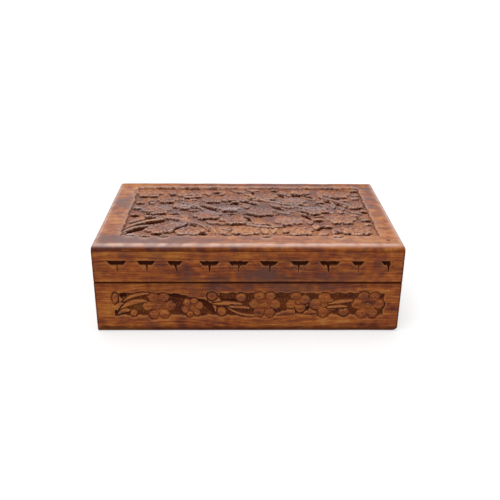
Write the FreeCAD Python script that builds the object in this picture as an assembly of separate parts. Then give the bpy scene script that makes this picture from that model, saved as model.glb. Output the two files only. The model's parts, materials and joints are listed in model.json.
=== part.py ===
# Carved keepsake box of hardwood: a shallow base and a hinged lid, with flowers and leaves in sunk relief.
import FreeCAD, Part
import math
import os

from FreeCAD import Vector

# Overall sizes in millimetres. X runs left to right, Y front to back and Z up.
box_length = 203.0
box_depth = 127.0
base_height = 36.3
rim_gap = 0.4                  # daylight between the rims of the closed box
lid_rail_height = 22.3
lid_panel_thickness = 4.5
wall_thickness = 12.0

# Rounded edges
corner_arris = 1.5             # upright corners of the walls and rails
foot_arris = 1.2               # lower outside edge of the base
panel_round = 4.2              # upper edge of the lid panel

# Floor, let into a rebate under the walls
floor_thickness = 4.0
floor_ledge = 6.0              # how far the floor reaches under the walls
floor_clearance = 0.2

# Bevel along both back rims: its faces meet when the lid is open and stop it
bevel_depth = 2.0
bevel_angle = 50.0

# Butt hinges, with the pin on the line where the two bevels meet
hinge_end_distance = 41.5      # from an end of the box to the middle of its hinge
hinge_length = 25.0
knuckle_count = 5
knuckle_radius = 1.9
knuckle_gap = 0.2
knuckle_clearance = 0.4        # between a knuckle and the wood or leaf that it turns in
hinge_pin_radius = 0.9
hinge_pin_clearance = 0.05
leaf_thickness = 1.0
leaf_width = 6.5               # from the pin's axis to the leaf's free edge
leaf_clearance = 0.1

# Countersunk hinge screws
screw_spacing = 15.0           # between the two screws of a leaf
screw_setback = 4.2            # from the pin's axis
screw_length = 7.0
screw_radius = 0.85
screw_head_radius = 1.6
screw_head_height = 0.75
screw_point = 1.6
screw_sink = 0.05              # how far the head lies under the leaf's face
screw_slot_width = 0.45
screw_slot_depth = 0.35
screw_clearance = 0.05

# Panel pins
pin_length = 18.0
pin_radius = 0.6
pin_head_radius = 0.9
pin_head_height = 0.8
pin_point = 1.5
pin_punch = 0.3                # how far the head is punched under the wood
pin_clearance = 0.05
floor_pin_length = 11.0
corner_pin_margin = 7.0        # from the edges of a wall or rail
lid_pin_inset = 10.0           # from the edges of the lid panel
lid_pin_count_along = 3
floor_pin_count_along = 3
floor_pin_count_across = 2
floor_pin_margin = 30.0        # from the outside of the box to the first pin of a row

# Carved field of the lid, inside a plain border
carving_depth = 1.6
lid_border_left = 16.3
lid_border_right = 13.7
lid_border_front = 16.0
lid_border_back = 11.5

# Carved bands of the base
band_bottom = 10.5
band_height = 18.3
band_end_left = 11.5           # plain wood at the ends of the band, as seen from outside
band_end_right = 10.9

# Row of gouges in the lid rails
gouge_top = 6.9                # under the panel
gouge_width = 12.0
gouge_height = 2.8
gouge_stem_width = 1.2
gouge_stem_height = 5.0
gouge_pitch = 19.6
gouge_first = 15.8             # from the left end of a rail to the middle of its first gouge
gouge_last = 10.2              # least from the last gouge's middle to the right end
gouge_depth = 1.4
gouge_belly = 0.3              # how far out its curved sides belly, as a share of its half width
gouge_sag = 0.45               # how far down they have come there, as a share of its height

# Motifs
lid_flower_radius = 11.6
lid_small_flower_radius = 8.6
lid_bud_radius = 3.5
lid_leaf_width = 6.6
band_flower_radius = 10.8
band_small_flower_radius = 7.8
band_bud_radius = 3.3
band_leaf_width = 5.2
stem_width = 2.4
petal_count = 6
flower_waist = 0.72            # the notch between two petals, as a share of the flower's radius

# Places of the motifs are shares of their field's half length and half width, from its middle.
# A flower has a turn in degrees, and a leaf or stem a bend, as a share of its length.
lid_flowers = [
    (-0.89, 0.79, 0), (-0.51, 0.75, 15), (-0.54, 0.27, 30), (-0.35, -0.13, 10), (-0.48, -0.77, 0),
    (-0.75, -0.66, 20), (-0.03, -0.76, 30), (-0.12, -0.32, 5), (-0.12, 0.54, 25), (0.14, 0.65, 10),
    (0.38, 0.43, 0), (0.10, 0.00, 15), (0.55, 0.06, 30), (0.32, -0.35, 20), (0.75, -0.30, 0),
    (0.38, -0.79, 10), (0.84, -0.76, 25), (0.79, 0.74, 5), (-0.78, 0.06, 10),
]
lid_small_flowers = [
    (-0.17, 0.13, 0), (0.90, 0.25, 15), (0.47, 0.85, 20), (-0.71, 0.49, 0), (-0.32, 0.49, 10),
]
lid_buds = [
    (-0.94, 0.44), (-0.95, 0.27), (-0.95, 0.09), (-0.95, -0.10), (-0.92, -0.89), (0.62, 0.40),
    (0.56, -0.33), (0.95, -0.33), (0.96, 0.00), (-0.28, 0.84), (0.62, -0.58), (0.07, -0.35), (-0.23, -0.05),
    (-0.01, -0.12), (-0.33, -0.92), (0.96, 0.92), (0.96, -0.14), (0.12, -0.94), (0.24, -0.94), (0.67, -0.93),
    (0.26, 0.06), (0.58, 0.93), (-0.62, 0.02), (-0.63, -0.91), (0.15, -0.27), (-0.51, -0.04), (-0.71, -0.94),
    (-0.82, -0.93), (0.62, -0.44), (-0.07, -0.02), (-0.96, -0.25), (0.88, -0.45), (0.23, 0.93),
]
lid_leaves = [
    (-0.98, -0.70, -0.66, -0.34, 0.12), (-0.97, -0.48, -0.74, -0.18, 0.12),
    (-0.98, -0.86, -0.84, -0.60, 0.12), (-0.40, 0.32, -0.27, 0.10, 0.0), (0.16, 0.34, 0.27, 0.16, 0.1),
    (0.40, 0.08, 0.46, -0.20, 0.1), (0.50, 0.66, 0.57, 0.46, 0.1), (0.68, 0.50, 0.72, 0.12, 0.08),
    (0.77, 0.46, 0.79, 0.02, 0.05), (0.14, -0.42, 0.18, -0.84, 0.1), (0.53, -0.94, 0.62, -0.72, 0.0),
    (-0.25, -0.56, -0.21, -0.93, 0.1), (0.29, 0.94, 0.33, 0.70, 0.0), (-0.16, 0.93, -0.01, 0.82, 0.0),
    (-0.38, 0.95, -0.35, 0.68, 0.0), (-0.72, 0.95, -0.66, 0.68, 0.0), (0.65, 0.95, 0.64, 0.56, 0.0),
    (-0.58, -0.08, -0.52, -0.34, 0.1), (0.02, 0.44, 0.08, 0.25, 0.0), (-0.04, 0.34, -0.02, 0.10, 0.05),
    (0.90, 0.50, 0.98, 0.62, 0.0), (0.84, 0.02, 0.94, -0.12, 0.1), (0.17, -0.60, 0.28, -0.57, 0.1),
    (0.52, -0.46, 0.53, -0.72, 0.0), (-0.88, 0.56, -0.83, 0.28, 0.05), (-0.87, -0.16, -0.80, -0.22, 0.0),
    (-0.69, -0.16, -0.61, -0.34, 0.08), (-0.63, -0.44, -0.57, -0.62, 0.0),
    (-0.36, -0.38, -0.24, -0.50, 0.0), (-0.36, -0.52, -0.30, -0.76, 0.1), (0.02, -0.44, 0.13, -0.52, 0.0),
    (0.50, -0.17, 0.62, -0.20, 0.1), (0.22, 0.00, 0.34, -0.12, 0.1), (0.27, 0.24, 0.40, 0.16, 0.0),
    (-0.20, 0.34, -0.06, 0.32, 0.05), (-0.61, 0.50, -0.45, 0.48, 0.08), (0.92, -0.46, 0.98, -0.52, 0.0),
    (0.66, 0.06, 0.70, -0.10, 0.0), (-0.25, 0.68, -0.22, 0.94, 0.0), (-0.02, 0.96, 0.10, 0.89, 0.0),
    (0.65, -0.86, 0.70, -0.62, 0.0), (0.46, -0.28, 0.49, -0.52, 0.05), (0.80, 0.52, 0.87, 0.42, 0.0),
    (-0.77, -0.22, -0.70, -0.34, 0.0), (-0.04, 0.82, 0.02, 0.68, 0.0), (0.94, 0.80, 0.97, 0.64, 0.0),
    (0.74, 0.04, 0.81, -0.08, 0.0), (-0.56, -0.54, -0.48, -0.46, 0.0), (0.11, -0.60, 0.12, -0.87, 0.0),
    (0.84, -0.10, 0.90, -0.22, 0.0), (0.35, 0.76, 0.39, 0.64, 0.0),
]
lid_stems = [
    (-0.62, -0.36, -0.29, -0.82, 0.22), (-0.56, -0.40, -0.40, -0.50, 0.12), (0.22, -0.13, 0.40, -0.04, 0.2),
    (-0.24, -0.53, 0.10, -0.53, 0.10), (0.58, 0.32, 0.68, 0.12, 0.1), (0.44, 0.26, 0.52, 0.24, 0.1),
]
front_flowers = [(-0.66, -0.08, 0), (0.12, 0.06, 0), (0.88, 0.00, 0)]
front_small_flowers = [(-0.41, -0.22, 30), (0.37, 0.16, 90)]
front_buds = [
    (-0.27, 0.60), (-0.05, 0.56), (-0.20, -0.60), (0.71, -0.60), (0.57, 0.64), (0.55, -0.02), (0.54, -0.66),
]
front_leaves = [
    (-0.96, -0.50, -0.74, 0.24, 0.10), (-0.56, 0.94, -0.20, -0.48, 0.16), (0.20, -0.94, 0.52, 0.06, -0.06),
    (-0.97, -0.92, -0.78, -0.44, 0.10),
]
front_stems = [
    (-0.98, 0.20, -0.70, 0.92, 0.10), (-0.25, 0.10, -0.01, 0.12, 0.02), (-0.22, -0.08, 0.01, -0.38, 0.06),
    (-0.17, -0.26, 0.06, -0.88, -0.10), (0.57, 0.06, 0.78, 0.32, 0.04), (0.57, -0.20, 0.74, -0.06, 0.04),
]
side_flowers = [(-0.58, 0.00, 0), (0.46, 0.04, 0)]
side_small_flowers = [(0.02, -0.10, 30), (0.88, -0.16, 90)]
side_buds = [(-0.93, 0.55), (-0.88, -0.60), (-0.22, 0.58), (0.19, 0.62), (0.74, 0.64), (-0.28, -0.62)]
side_leaves = [
    (0.10, -0.92, 0.34, -0.60, 0.10), (0.60, -0.94, 0.80, -0.50, 0.10), (-0.52, 0.96, -0.10, 0.30, 0.14),
]
side_stems = [
    (-0.40, -0.10, -0.10, -0.16, 0.06), (-0.42, -0.44, -0.08, -0.90, 0.08), (0.12, 0.20, 0.34, 0.30, 0.10),
]

# Worked out from the sizes above
cut_overrun = 1.0              # how far a cutting shape runs past the wood
same_height = 1e-6             # heights closer than this are the same
panel_round_limit = 0.9        # the most that the lid panel's round takes of its thickness
half_length = box_length / 2
half_depth = box_depth / 2
lid_rim = base_height + rim_gap
panel_bottom = lid_rim + lid_rail_height
box_height = panel_bottom + lid_panel_thickness
base_leaf_bed = base_height - leaf_thickness
pin_line_y = half_depth - bevel_depth
pin_line_z = base_height + rim_gap / 2
bevel_rise = bevel_depth * math.tan(math.radians(bevel_angle))
knuckle_pitch = hinge_length / knuckle_count
hinge_middles = (hinge_end_distance - half_length, half_length - hinge_end_distance)
up = Vector(0, 0, 1)
down = Vector(0, 0, -1)
origin = Vector(0, 0, 0)

# Each side of the box: its distance from the middle, its half width and its turn from the front
sides = {
    "front": (half_depth, half_length, 0),
    "right": (half_length, half_depth, 90),
    "back": (half_depth, half_length, 180),
    "left": (half_length, half_depth, 270),
}


def block(low, high):
    size = high - low
    return Part.makeBox(size.x, size.y, size.z, low)


def round_edges(shape, radius, chosen):
    return shape.makeFillet(radius, [edge for edge in shape.Edges if chosen(edge)])


def is_upright(edge):
    direction = edge.tangentAt(edge.FirstParameter)
    return abs(direction.z) > abs(direction.x) + abs(direction.y)


def lies_at(height):
    return lambda edge: all(abs(point.Z - height) < same_height for point in edge.Vertexes)


def prism(points, travel):
    return Part.Face(Part.makePolygon(points + points[:1])).extrude(travel)


# Frame of four walls, drawn as one ring and sawn apart at the mitres: its outside and its hollow
def ring_blanks(bottom, top):
    outside = block(Vector(-half_length, -half_depth, bottom), Vector(half_length, half_depth, top))
    inside = block(
        Vector(wall_thickness - half_length, wall_thickness - half_depth, bottom - cut_overrun),
        Vector(half_length - wall_thickness, half_depth - wall_thickness, top + cut_overrun),
    )
    return round_edges(outside, corner_arris, is_upright), inside


def mitre_wedge(side, bottom, top):
    reach, half_width, turn = sides[side]
    deep = wall_thickness + cut_overrun
    points = [
        Vector(-half_width - cut_overrun, -reach - cut_overrun, bottom),
        Vector(half_width + cut_overrun, -reach - cut_overrun, bottom),
        Vector(half_width - deep, deep - reach, bottom),
        Vector(deep - half_width, deep - reach, bottom),
    ]
    wedge = prism(points, Vector(0, 0, top - bottom))
    wedge.rotate(origin, up, turn)
    return wedge


def back_bevel(rim, rise):
    points = [
        Vector(-half_length - cut_overrun, pin_line_y, rim),
        Vector(-half_length - cut_overrun, half_depth, rim - rise),
        Vector(-half_length - cut_overrun, half_depth + cut_overrun, rim - rise),
        Vector(-half_length - cut_overrun, half_depth + cut_overrun, rim + math.copysign(cut_overrun, rise)),
        Vector(-half_length - cut_overrun, pin_line_y, rim + math.copysign(cut_overrun, rise)),
    ]
    return prism(points, Vector(box_length + 2 * cut_overrun, 0, 0))


def sawn_walls(ring, bottom, top):
    return {side: ring.common(mitre_wedge(side, bottom, top)) for side in sides}


# Carving is drawn on the XY plane, as seen from outside with the outward side up, and then set on its face
def set_on_side(shape, side):
    reach, half_width, turn = sides[side]
    shape.rotate(origin, Vector(1, 0, 0), 90)
    shape.translate(Vector(0, -reach, 0))
    shape.rotate(origin, up, turn)
    return shape


def around(middle, radius, degrees):
    angle = math.radians(degrees)
    return middle + Vector(radius * math.cos(angle), radius * math.sin(angle), 0)


def flower(middle, radius, turn):
    step = 360 / petal_count
    petals = []
    for number in range(petal_count):
        tip = turn + number * step
        petals.append(Part.Arc(
            around(middle, radius * flower_waist, tip - step / 2),
            around(middle, radius, tip),
            around(middle, radius * flower_waist, tip + step / 2),
        ).toShape())
    return Part.Face(Part.Wire(petals))


def bud(middle, radius):
    return Part.Face(Part.Wire(Part.makeCircle(radius, middle)))


# A leaf or stem lies between two arcs that share its ends
def sprig(start, end, bend, width):
    along = end - start
    across = Vector(-along.y, along.x, 0) / along.Length
    middle = (start + end) / 2
    left = middle + across * (bend * along.Length + width / 2)
    right = middle + across * (bend * along.Length - width / 2)
    return Part.Face(Part.Wire([Part.Arc(start, left, end).toShape(), Part.Arc(end, right, start).toShape()]))


def motifs(low, high, sizes, flowers, small_flowers, buds, leaves, stems):
    flower_radius, small_flower_radius, bud_radius, motif_leaf_width = sizes
    middle = (low + high) / 2
    half = (high - low) / 2

    def place(across, along):
        return middle + Vector(across * half.x, along * half.y, 0)

    shapes = [flower(place(u, v), flower_radius, turn) for u, v, turn in flowers]
    shapes += [flower(place(u, v), small_flower_radius, turn) for u, v, turn in small_flowers]
    shapes += [bud(place(u, v), bud_radius) for u, v in buds]
    shapes += [sprig(place(u, v), place(p, q), bend, motif_leaf_width) for u, v, p, q, bend in leaves]
    shapes += [sprig(place(u, v), place(p, q), bend, stem_width) for u, v, p, q, bend in stems]
    return shapes


# The ground is what is left of the field between the motifs, cut down to the carving's depth
def sunk_ground(low, high, raised):
    corners = [low, Vector(high.x, low.y, 0), high, Vector(low.x, high.y, 0)]
    field = Part.Face(Part.makePolygon(corners + corners[:1]))
    ground = field.cut(raised)
    ground.translate(Vector(0, 0, -carving_depth))
    return ground.extrude(Vector(0, 0, carving_depth + cut_overrun))


def carved_band(side, *layout):
    sizes = (band_flower_radius, band_small_flower_radius, band_bud_radius, band_leaf_width)
    half_width = sides[side][1]
    low = Vector(band_end_left - half_width, band_bottom, 0)
    high = Vector(half_width - band_end_right, band_bottom + band_height, 0)
    return set_on_side(sunk_ground(low, high, motifs(low, high, sizes, *layout)), side)


# A gouge is a broad bar with hollow shoulders that run down into a narrow stem
def gouge(middle):
    top = panel_bottom - gouge_top
    neck = top - gouge_height
    foot = neck - gouge_stem_height
    half_stem = gouge_stem_width / 2
    half_width = gouge_width / 2
    shoulder = half_stem + gouge_belly * (half_width - half_stem)
    shoulder_height = top - gouge_sag * gouge_height
    left_tip, right_tip = Vector(middle - half_width, top, 0), Vector(middle + half_width, top, 0)
    left_neck, right_neck = Vector(middle - half_stem, neck, 0), Vector(middle + half_stem, neck, 0)
    left_foot, right_foot = Vector(middle - half_stem, foot, 0), Vector(middle + half_stem, foot, 0)
    outline = Part.Wire([
        Part.makeLine(left_tip, right_tip),
        Part.Arc(right_tip, Vector(middle + shoulder, shoulder_height, 0), right_neck).toShape(),
        Part.makeLine(right_neck, right_foot),
        Part.makeLine(right_foot, left_foot),
        Part.makeLine(left_foot, left_neck),
        Part.Arc(left_neck, Vector(middle - shoulder, shoulder_height, 0), left_tip).toShape(),
    ])
    face = Part.Face(outline)
    face.translate(Vector(0, 0, -gouge_depth))
    return face.extrude(Vector(0, 0, gouge_depth + cut_overrun))


def gouge_row(side):
    half_width = sides[side][1]
    room = 2 * half_width - gouge_first - gouge_last
    count = int(room / gouge_pitch) + 1
    first = gouge_first - half_width
    return [set_on_side(gouge(first + number * gouge_pitch), side) for number in range(count)]


# Panel pins: each has the point where it enters the wood and the way it is driven
def pin_body(entry, way, length):
    head_start = entry + way * pin_punch
    shank_start = head_start + way * pin_head_height
    point_start = head_start + way * (length - pin_point)
    head = Part.makeCylinder(pin_head_radius, pin_head_height, head_start, way)
    shank = Part.makeCylinder(pin_radius, length - pin_head_height - pin_point, shank_start, way)
    point = Part.makeCone(pin_radius, 0, pin_point, point_start, way)
    return head.fuse([shank, point]).removeSplitter()


def pin_hole(entry, way, length):
    mouth_depth = pin_punch + pin_head_height + pin_clearance
    mouth = Part.makeCylinder(
        pin_head_radius + pin_clearance, mouth_depth + cut_overrun, entry - way * cut_overrun, way
    )
    shank = Part.makeCylinder(pin_radius + pin_clearance, pin_punch + length + pin_clearance, entry, way)
    return mouth.fuse(shank)


def pins_and_holes(places, length):
    bodies = [pin_body(entry, way, length) for entry, way in places]
    holes = [pin_hole(entry, way, length) for entry, way in places]
    return Part.makeCompound(bodies), holes


def spread(count, half_span):
    if count == 1:
        return [0.0]
    return [half_span * (2 * number / (count - 1) - 1) for number in range(count)]


def corner_pin_places(bottom, top):
    places = []
    for end in (-1, 1):
        for y in (wall_thickness / 2 - half_depth, half_depth - wall_thickness / 2):
            for z in (bottom + corner_pin_margin, top - corner_pin_margin):
                places.append((Vector(end * half_length, y, z), Vector(-end, 0, 0)))
    return places


def lid_pin_places():
    inset_y = half_depth - lid_pin_inset
    inset_x = half_length - lid_pin_inset
    along = spread(lid_pin_count_along, inset_x)
    places = [(Vector(x, y, box_height), down) for x in along for y in (-inset_y, inset_y)]
    return places + [(Vector(x, 0, box_height), down) for x in (-inset_x, inset_x)]


def floor_pin_places():
    x_line = half_length - wall_thickness + floor_ledge / 2
    y_line = half_depth - wall_thickness + floor_ledge / 2
    along = spread(floor_pin_count_along, half_length - floor_pin_margin)
    across = spread(floor_pin_count_across, half_depth - floor_pin_margin)
    places = [(Vector(x, y, 0), up) for x in along for y in (-y_line, y_line)]
    return places + [(Vector(x, y, 0), up) for y in across for x in (-x_line, x_line)]


# Hinges: the base leaf has the odd knuckles and the lid leaf those between them
def along_pin_line(radius, start, end):
    return Part.makeCylinder(radius, end - start, Vector(start, pin_line_y, pin_line_z), Vector(1, 0, 0))


def knuckle_span(middle, number):
    start = middle - hinge_length / 2 + number * knuckle_pitch
    return start + knuckle_gap / 2, start + knuckle_pitch - knuckle_gap / 2


def leaf_slab(middle, bottom, spare):
    low = Vector(middle - hinge_length / 2 - spare, pin_line_y - leaf_width - spare, bottom)
    high = Vector(middle + hinge_length / 2 + spare, pin_line_y, bottom + leaf_thickness)
    return block(low, high)


def hinge_leaf(middle, bottom, own_first, screws):
    leaf = leaf_slab(middle, bottom, 0)
    for number in range(knuckle_count):
        start, end = knuckle_span(middle, number)
        if number % 2 == own_first:
            leaf = leaf.fuse(along_pin_line(knuckle_radius, start, end))
        else:
            leaf = leaf.cut(along_pin_line(
                knuckle_radius + knuckle_clearance, start - knuckle_gap, end + knuckle_gap
            ))
    bore = along_pin_line(
        hinge_pin_radius + hinge_pin_clearance, middle - hinge_length, middle + hinge_length
    )
    return leaf.cut([bore] + [screw_hole(*place) for place in screws]).removeSplitter()


def hinge_pin(middle):
    start = middle - hinge_length / 2 + knuckle_gap / 2
    return along_pin_line(hinge_pin_radius, start, start + hinge_length - knuckle_gap)


def barrel_groove(middle):
    half_groove = hinge_length / 2 + leaf_clearance
    return along_pin_line(knuckle_radius + knuckle_clearance, middle - half_groove, middle + half_groove)


# Screws: each has the middle of its head on the leaf's face and the way it is driven
def screw_places(middle, face, way):
    y = pin_line_y - screw_setback
    return [(Vector(middle + x, y, face), way) for x in (-screw_spacing / 2, screw_spacing / 2)]


def screw_body(face_point, way):
    top = face_point + way * screw_sink
    shank_start = top + way * screw_head_height
    point_start = top + way * (screw_length - screw_point)
    head = Part.makeCone(screw_head_radius, screw_radius, screw_head_height, top, way)
    shank = Part.makeCylinder(screw_radius, screw_length - screw_head_height - screw_point, shank_start, way)
    point = Part.makeCone(screw_radius, 0, screw_point, point_start, way)
    slot_half = Vector(screw_head_radius + cut_overrun, screw_slot_width / 2, screw_slot_depth)
    slot = block(top - slot_half, top + slot_half)
    return head.fuse([shank, point]).cut(slot)


def screw_hole(face_point, way):
    sink = Part.makeCone(
        screw_head_radius + screw_clearance + screw_sink, screw_radius + screw_clearance,
        screw_head_height + screw_sink, face_point, way,
    )
    shank = Part.makeCylinder(
        screw_radius + screw_clearance, screw_sink + screw_length + screw_clearance, face_point, way
    )
    return sink.fuse(shank)


# Floor
floor_half_x = half_length - wall_thickness + floor_ledge
floor_half_y = half_depth - wall_thickness + floor_ledge


def floor_block(spare, bottom):
    return block(
        Vector(-floor_half_x - spare, -floor_half_y - spare, bottom),
        Vector(floor_half_x + spare, floor_half_y + spare, floor_thickness),
    )


# Lid panel with its carved field
def lid_panel():
    low = Vector(-half_length, -half_depth, panel_bottom)
    slab = block(low, Vector(half_length, half_depth, box_height))
    slab = round_edges(slab, min(panel_round, panel_round_limit * lid_panel_thickness), lies_at(box_height))
    field_low = Vector(lid_border_left - half_length, lid_border_front - half_depth, 0)
    field_high = Vector(half_length - lid_border_right, half_depth - lid_border_back, 0)
    sizes = (lid_flower_radius, lid_small_flower_radius, lid_bud_radius, lid_leaf_width)
    layout = (lid_flowers, lid_small_flowers, lid_buds, lid_leaves, lid_stems)
    raised = motifs(field_low, field_high, sizes, *layout)
    ground = sunk_ground(field_low, field_high, raised)
    ground.translate(Vector(0, 0, box_height))
    return slab.cut(ground)


# Assembly
parts = {}

base_screws = [screw_places(middle, base_height, down) for middle in hinge_middles]
lid_screws = [screw_places(middle, lid_rim, up) for middle in hinge_middles]
all_base_screws = base_screws[0] + base_screws[1]
all_lid_screws = lid_screws[0] + lid_screws[1]

lid_top_pins, lid_top_holes = pins_and_holes(lid_pin_places(), pin_length)
lid_corner_pins, lid_corner_holes = pins_and_holes(corner_pin_places(lid_rim, panel_bottom), pin_length)
base_corner_pins, base_corner_holes = pins_and_holes(corner_pin_places(0, base_height), pin_length)
floor_pins, floor_holes = pins_and_holes(floor_pin_places(), floor_pin_length)

base_ring, base_inside = ring_blanks(0, base_height)
base_ring = round_edges(base_ring, foot_arris, lies_at(0))
floor_rebate = floor_block(floor_clearance, -cut_overrun)
base_ring = base_ring.cut([base_inside, floor_rebate, back_bevel(base_height, bevel_rise)])
base_walls = sawn_walls(base_ring, -cut_overrun, base_height + cut_overrun)

lid_ring, lid_inside = ring_blanks(lid_rim, panel_bottom)
lid_ring = lid_ring.cut([lid_inside, back_bevel(lid_rim, -bevel_rise)])
lid_rails = sawn_walls(lid_ring, lid_rim - cut_overrun, panel_bottom + cut_overrun)

front_layout = (front_flowers, front_small_flowers, front_buds, front_leaves, front_stems)
side_layout = (side_flowers, side_small_flowers, side_buds, side_leaves, side_stems)
base_cuts = {
    "front": [carved_band("front", *front_layout)],
    "left": [carved_band("left", *side_layout)],
    "right": [carved_band("right", *side_layout)],
    "back": [leaf_slab(middle, base_leaf_bed, leaf_clearance) for middle in hinge_middles]
    + [barrel_groove(middle) for middle in hinge_middles]
    + [screw_hole(*place) for place in all_base_screws],
}
lid_cuts = {
    "front": gouge_row("front"),
    "left": gouge_row("left"),
    "right": gouge_row("right"),
    "back": [leaf_slab(middle, lid_rim, leaf_clearance) for middle in hinge_middles]
    + [barrel_groove(middle) for middle in hinge_middles]
    + [screw_hole(*place) for place in all_lid_screws],
}
for side in sides:
    parts[f"base_{side}_wall"] = base_walls[side].cut(base_cuts[side] + base_corner_holes + floor_holes)
    parts[f"lid_{side}_rail"] = lid_rails[side].cut(lid_cuts[side] + lid_corner_holes + lid_top_holes)

parts["bottom_panel"] = floor_block(0, 0).cut(floor_holes)
parts["lid_top_panel"] = lid_panel().cut(lid_top_holes)
parts["lid_top_pins"] = lid_top_pins
parts["lid_corner_pins"] = lid_corner_pins
parts["base_corner_pins"] = base_corner_pins
parts["bottom_panel_pins"] = floor_pins

for number, name in enumerate(("left", "right")):
    middle = hinge_middles[number]
    parts[f"{name}_hinge_base_leaf"] = hinge_leaf(middle, base_leaf_bed, 0, base_screws[number])
    parts[f"{name}_hinge_lid_leaf"] = hinge_leaf(middle, lid_rim, 1, lid_screws[number])
    parts[f"{name}_hinge_pin"] = hinge_pin(middle)

parts["base_hinge_screws"] = Part.makeCompound([screw_body(*place) for place in all_base_screws])
parts["lid_hinge_screws"] = Part.makeCompound([screw_body(*place) for place in all_lid_screws])

os.makedirs("parts", exist_ok=True)
for name, shape in parts.items():
    shape.exportStep(f"parts/{name}.step")
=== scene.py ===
# Carved hardwood keepsake box: the finish and carving of each piece, worked out around its fixed frame.
import json
import math

import bpy
import numpy as np
from mathutils import Matrix, Vector


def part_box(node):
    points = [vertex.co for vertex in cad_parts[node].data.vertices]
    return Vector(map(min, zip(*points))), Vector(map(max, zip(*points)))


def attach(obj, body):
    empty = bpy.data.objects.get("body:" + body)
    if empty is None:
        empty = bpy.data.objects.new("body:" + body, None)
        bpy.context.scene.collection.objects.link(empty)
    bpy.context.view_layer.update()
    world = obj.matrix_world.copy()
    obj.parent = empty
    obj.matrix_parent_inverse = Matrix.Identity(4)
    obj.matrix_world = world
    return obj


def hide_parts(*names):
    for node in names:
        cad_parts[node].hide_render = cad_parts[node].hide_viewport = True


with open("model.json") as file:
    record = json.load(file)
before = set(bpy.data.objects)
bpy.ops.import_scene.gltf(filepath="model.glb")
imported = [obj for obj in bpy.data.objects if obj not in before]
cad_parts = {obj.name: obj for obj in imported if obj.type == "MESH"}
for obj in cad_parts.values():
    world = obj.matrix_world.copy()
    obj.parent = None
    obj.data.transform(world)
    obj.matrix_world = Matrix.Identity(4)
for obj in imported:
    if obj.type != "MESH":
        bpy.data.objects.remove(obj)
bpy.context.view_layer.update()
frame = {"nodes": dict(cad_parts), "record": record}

mm = 0.001               # lengths below are in millimetres until they go into a mesh


def nodeBox(name):       # lowest and highest corner of a node, in millimetres
    low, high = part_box(name)
    return np.array(low) / mm, np.array(high) / mm


frontLow, frontHigh = nodeBox("base_front_wall")
panelLow, panelHigh = nodeBox("lid_top_panel")
hingeLow, hingeHigh = nodeBox("right_hinge_base_leaf")
hingePinLow, hingePinHigh = nodeBox("right_hinge_pin")

halfLength, halfDepth, boxTop = panelHigh
panelBottom = panelLow[2]
wallThickness = frontHigh[1] - frontLow[1]
rimHeight = frontHigh[2]
lidRim = nodeBox("lid_front_rail")[0][2]
floorTop = nodeBox("bottom_panel")[1][2]


# Shaping helpers

def ramp(value, low, high):      # smooth step: 0 at low, 1 at high, level at both ends
    t = np.clip((value - low) / (high - low), 0, 1)
    return t * t * (3 - 2 * t)


def bell(value, width):      # 1 at zero, falling away to both sides
    return np.exp(-(value / width) ** 2)


def ripple(x, y, size, seed, count=14, spread=(0.7, 1.4)):
    # sum of plane waves in random directions, each about as long as the size
    draw = np.random.default_rng(seed)
    turns = draw.uniform(0, 2 * math.pi, count)
    phases = draw.uniform(0, 2 * math.pi, count)
    lengths = size * draw.uniform(*spread, count)
    waves = [np.cos((x * math.cos(turn) + y * math.sin(turn)) * 2 * math.pi / length + phase)
             for turn, phase, length in zip(turns, phases, lengths)]
    return sum(waves) / math.sqrt(count / 2)


def planed(x, y, size, seed, middle=1.5):      # slow hollows of a hand-planed face, never proud of it
    return np.clip(middle + ripple(x, y, size, seed), 0, None)


def steps(stops, plan):      # stations from stop to stop in three stretches, close in the middle one
    spacings = [plan[key] for key in ("coarse", "fine", "coarse")]
    runs = [np.linspace(start, end, max(2, round(abs(end - start) / spacing) + 1))[:-1]
            for start, end, spacing in zip(stops, stops[1:], spacings)]
    return np.concatenate(runs + [[stops[-1]]])


def softened(values, passes):    # mean of each grid point, counted twice, and its four neighbours
    for _ in range(passes):
        padded = np.pad(values, 1, mode="edge")
        values = (padded[1:-1, 1:-1] * 2 + padded[:-2, 1:-1] + padded[2:, 1:-1]
                  + padded[1:-1, :-2] + padded[1:-1, 2:]) / 6
    return values


# Motifs of the carving: each is a middle, a reach, its cut, and a shape that gives, for points measured
# from the middle, how far inside the outline they lie and how deep the top is there

form = {      # unevenness of the hand, shares of a petal's or bud's radius, and widths of fine cuts
    "petals": 6, "turnSpread": (-5, 5), "sizeSpread": (0.93, 1.06), "reachSpread": (0.96, 1.04),
    "moatSpread": (0.6, 1.1), "budSpread": (0.9, 1.1), "hollow": 0.5, "petalEye": 0.18, "budEye": 0.2,
    "fanStart": 0.5, "fanSlope": 0.42, "nickReach": 0.5, "bossFall": 0.8,
    "bossTop": 0.1, "dotWidth": 0.55, "ribWidth": 0.4, "leastHalf": 0.2, "mostAcross": 1.2,
    "margin": 3.0,      # how far round a motif its moat is worked out
}


def hollowed(share, cut, eyeWidth):      # a round hollow with a drilled eye
    return cut["dish"] * bell(share, form["hollow"]) + cut["eye"] * bell(share, eyeWidth)


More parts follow.
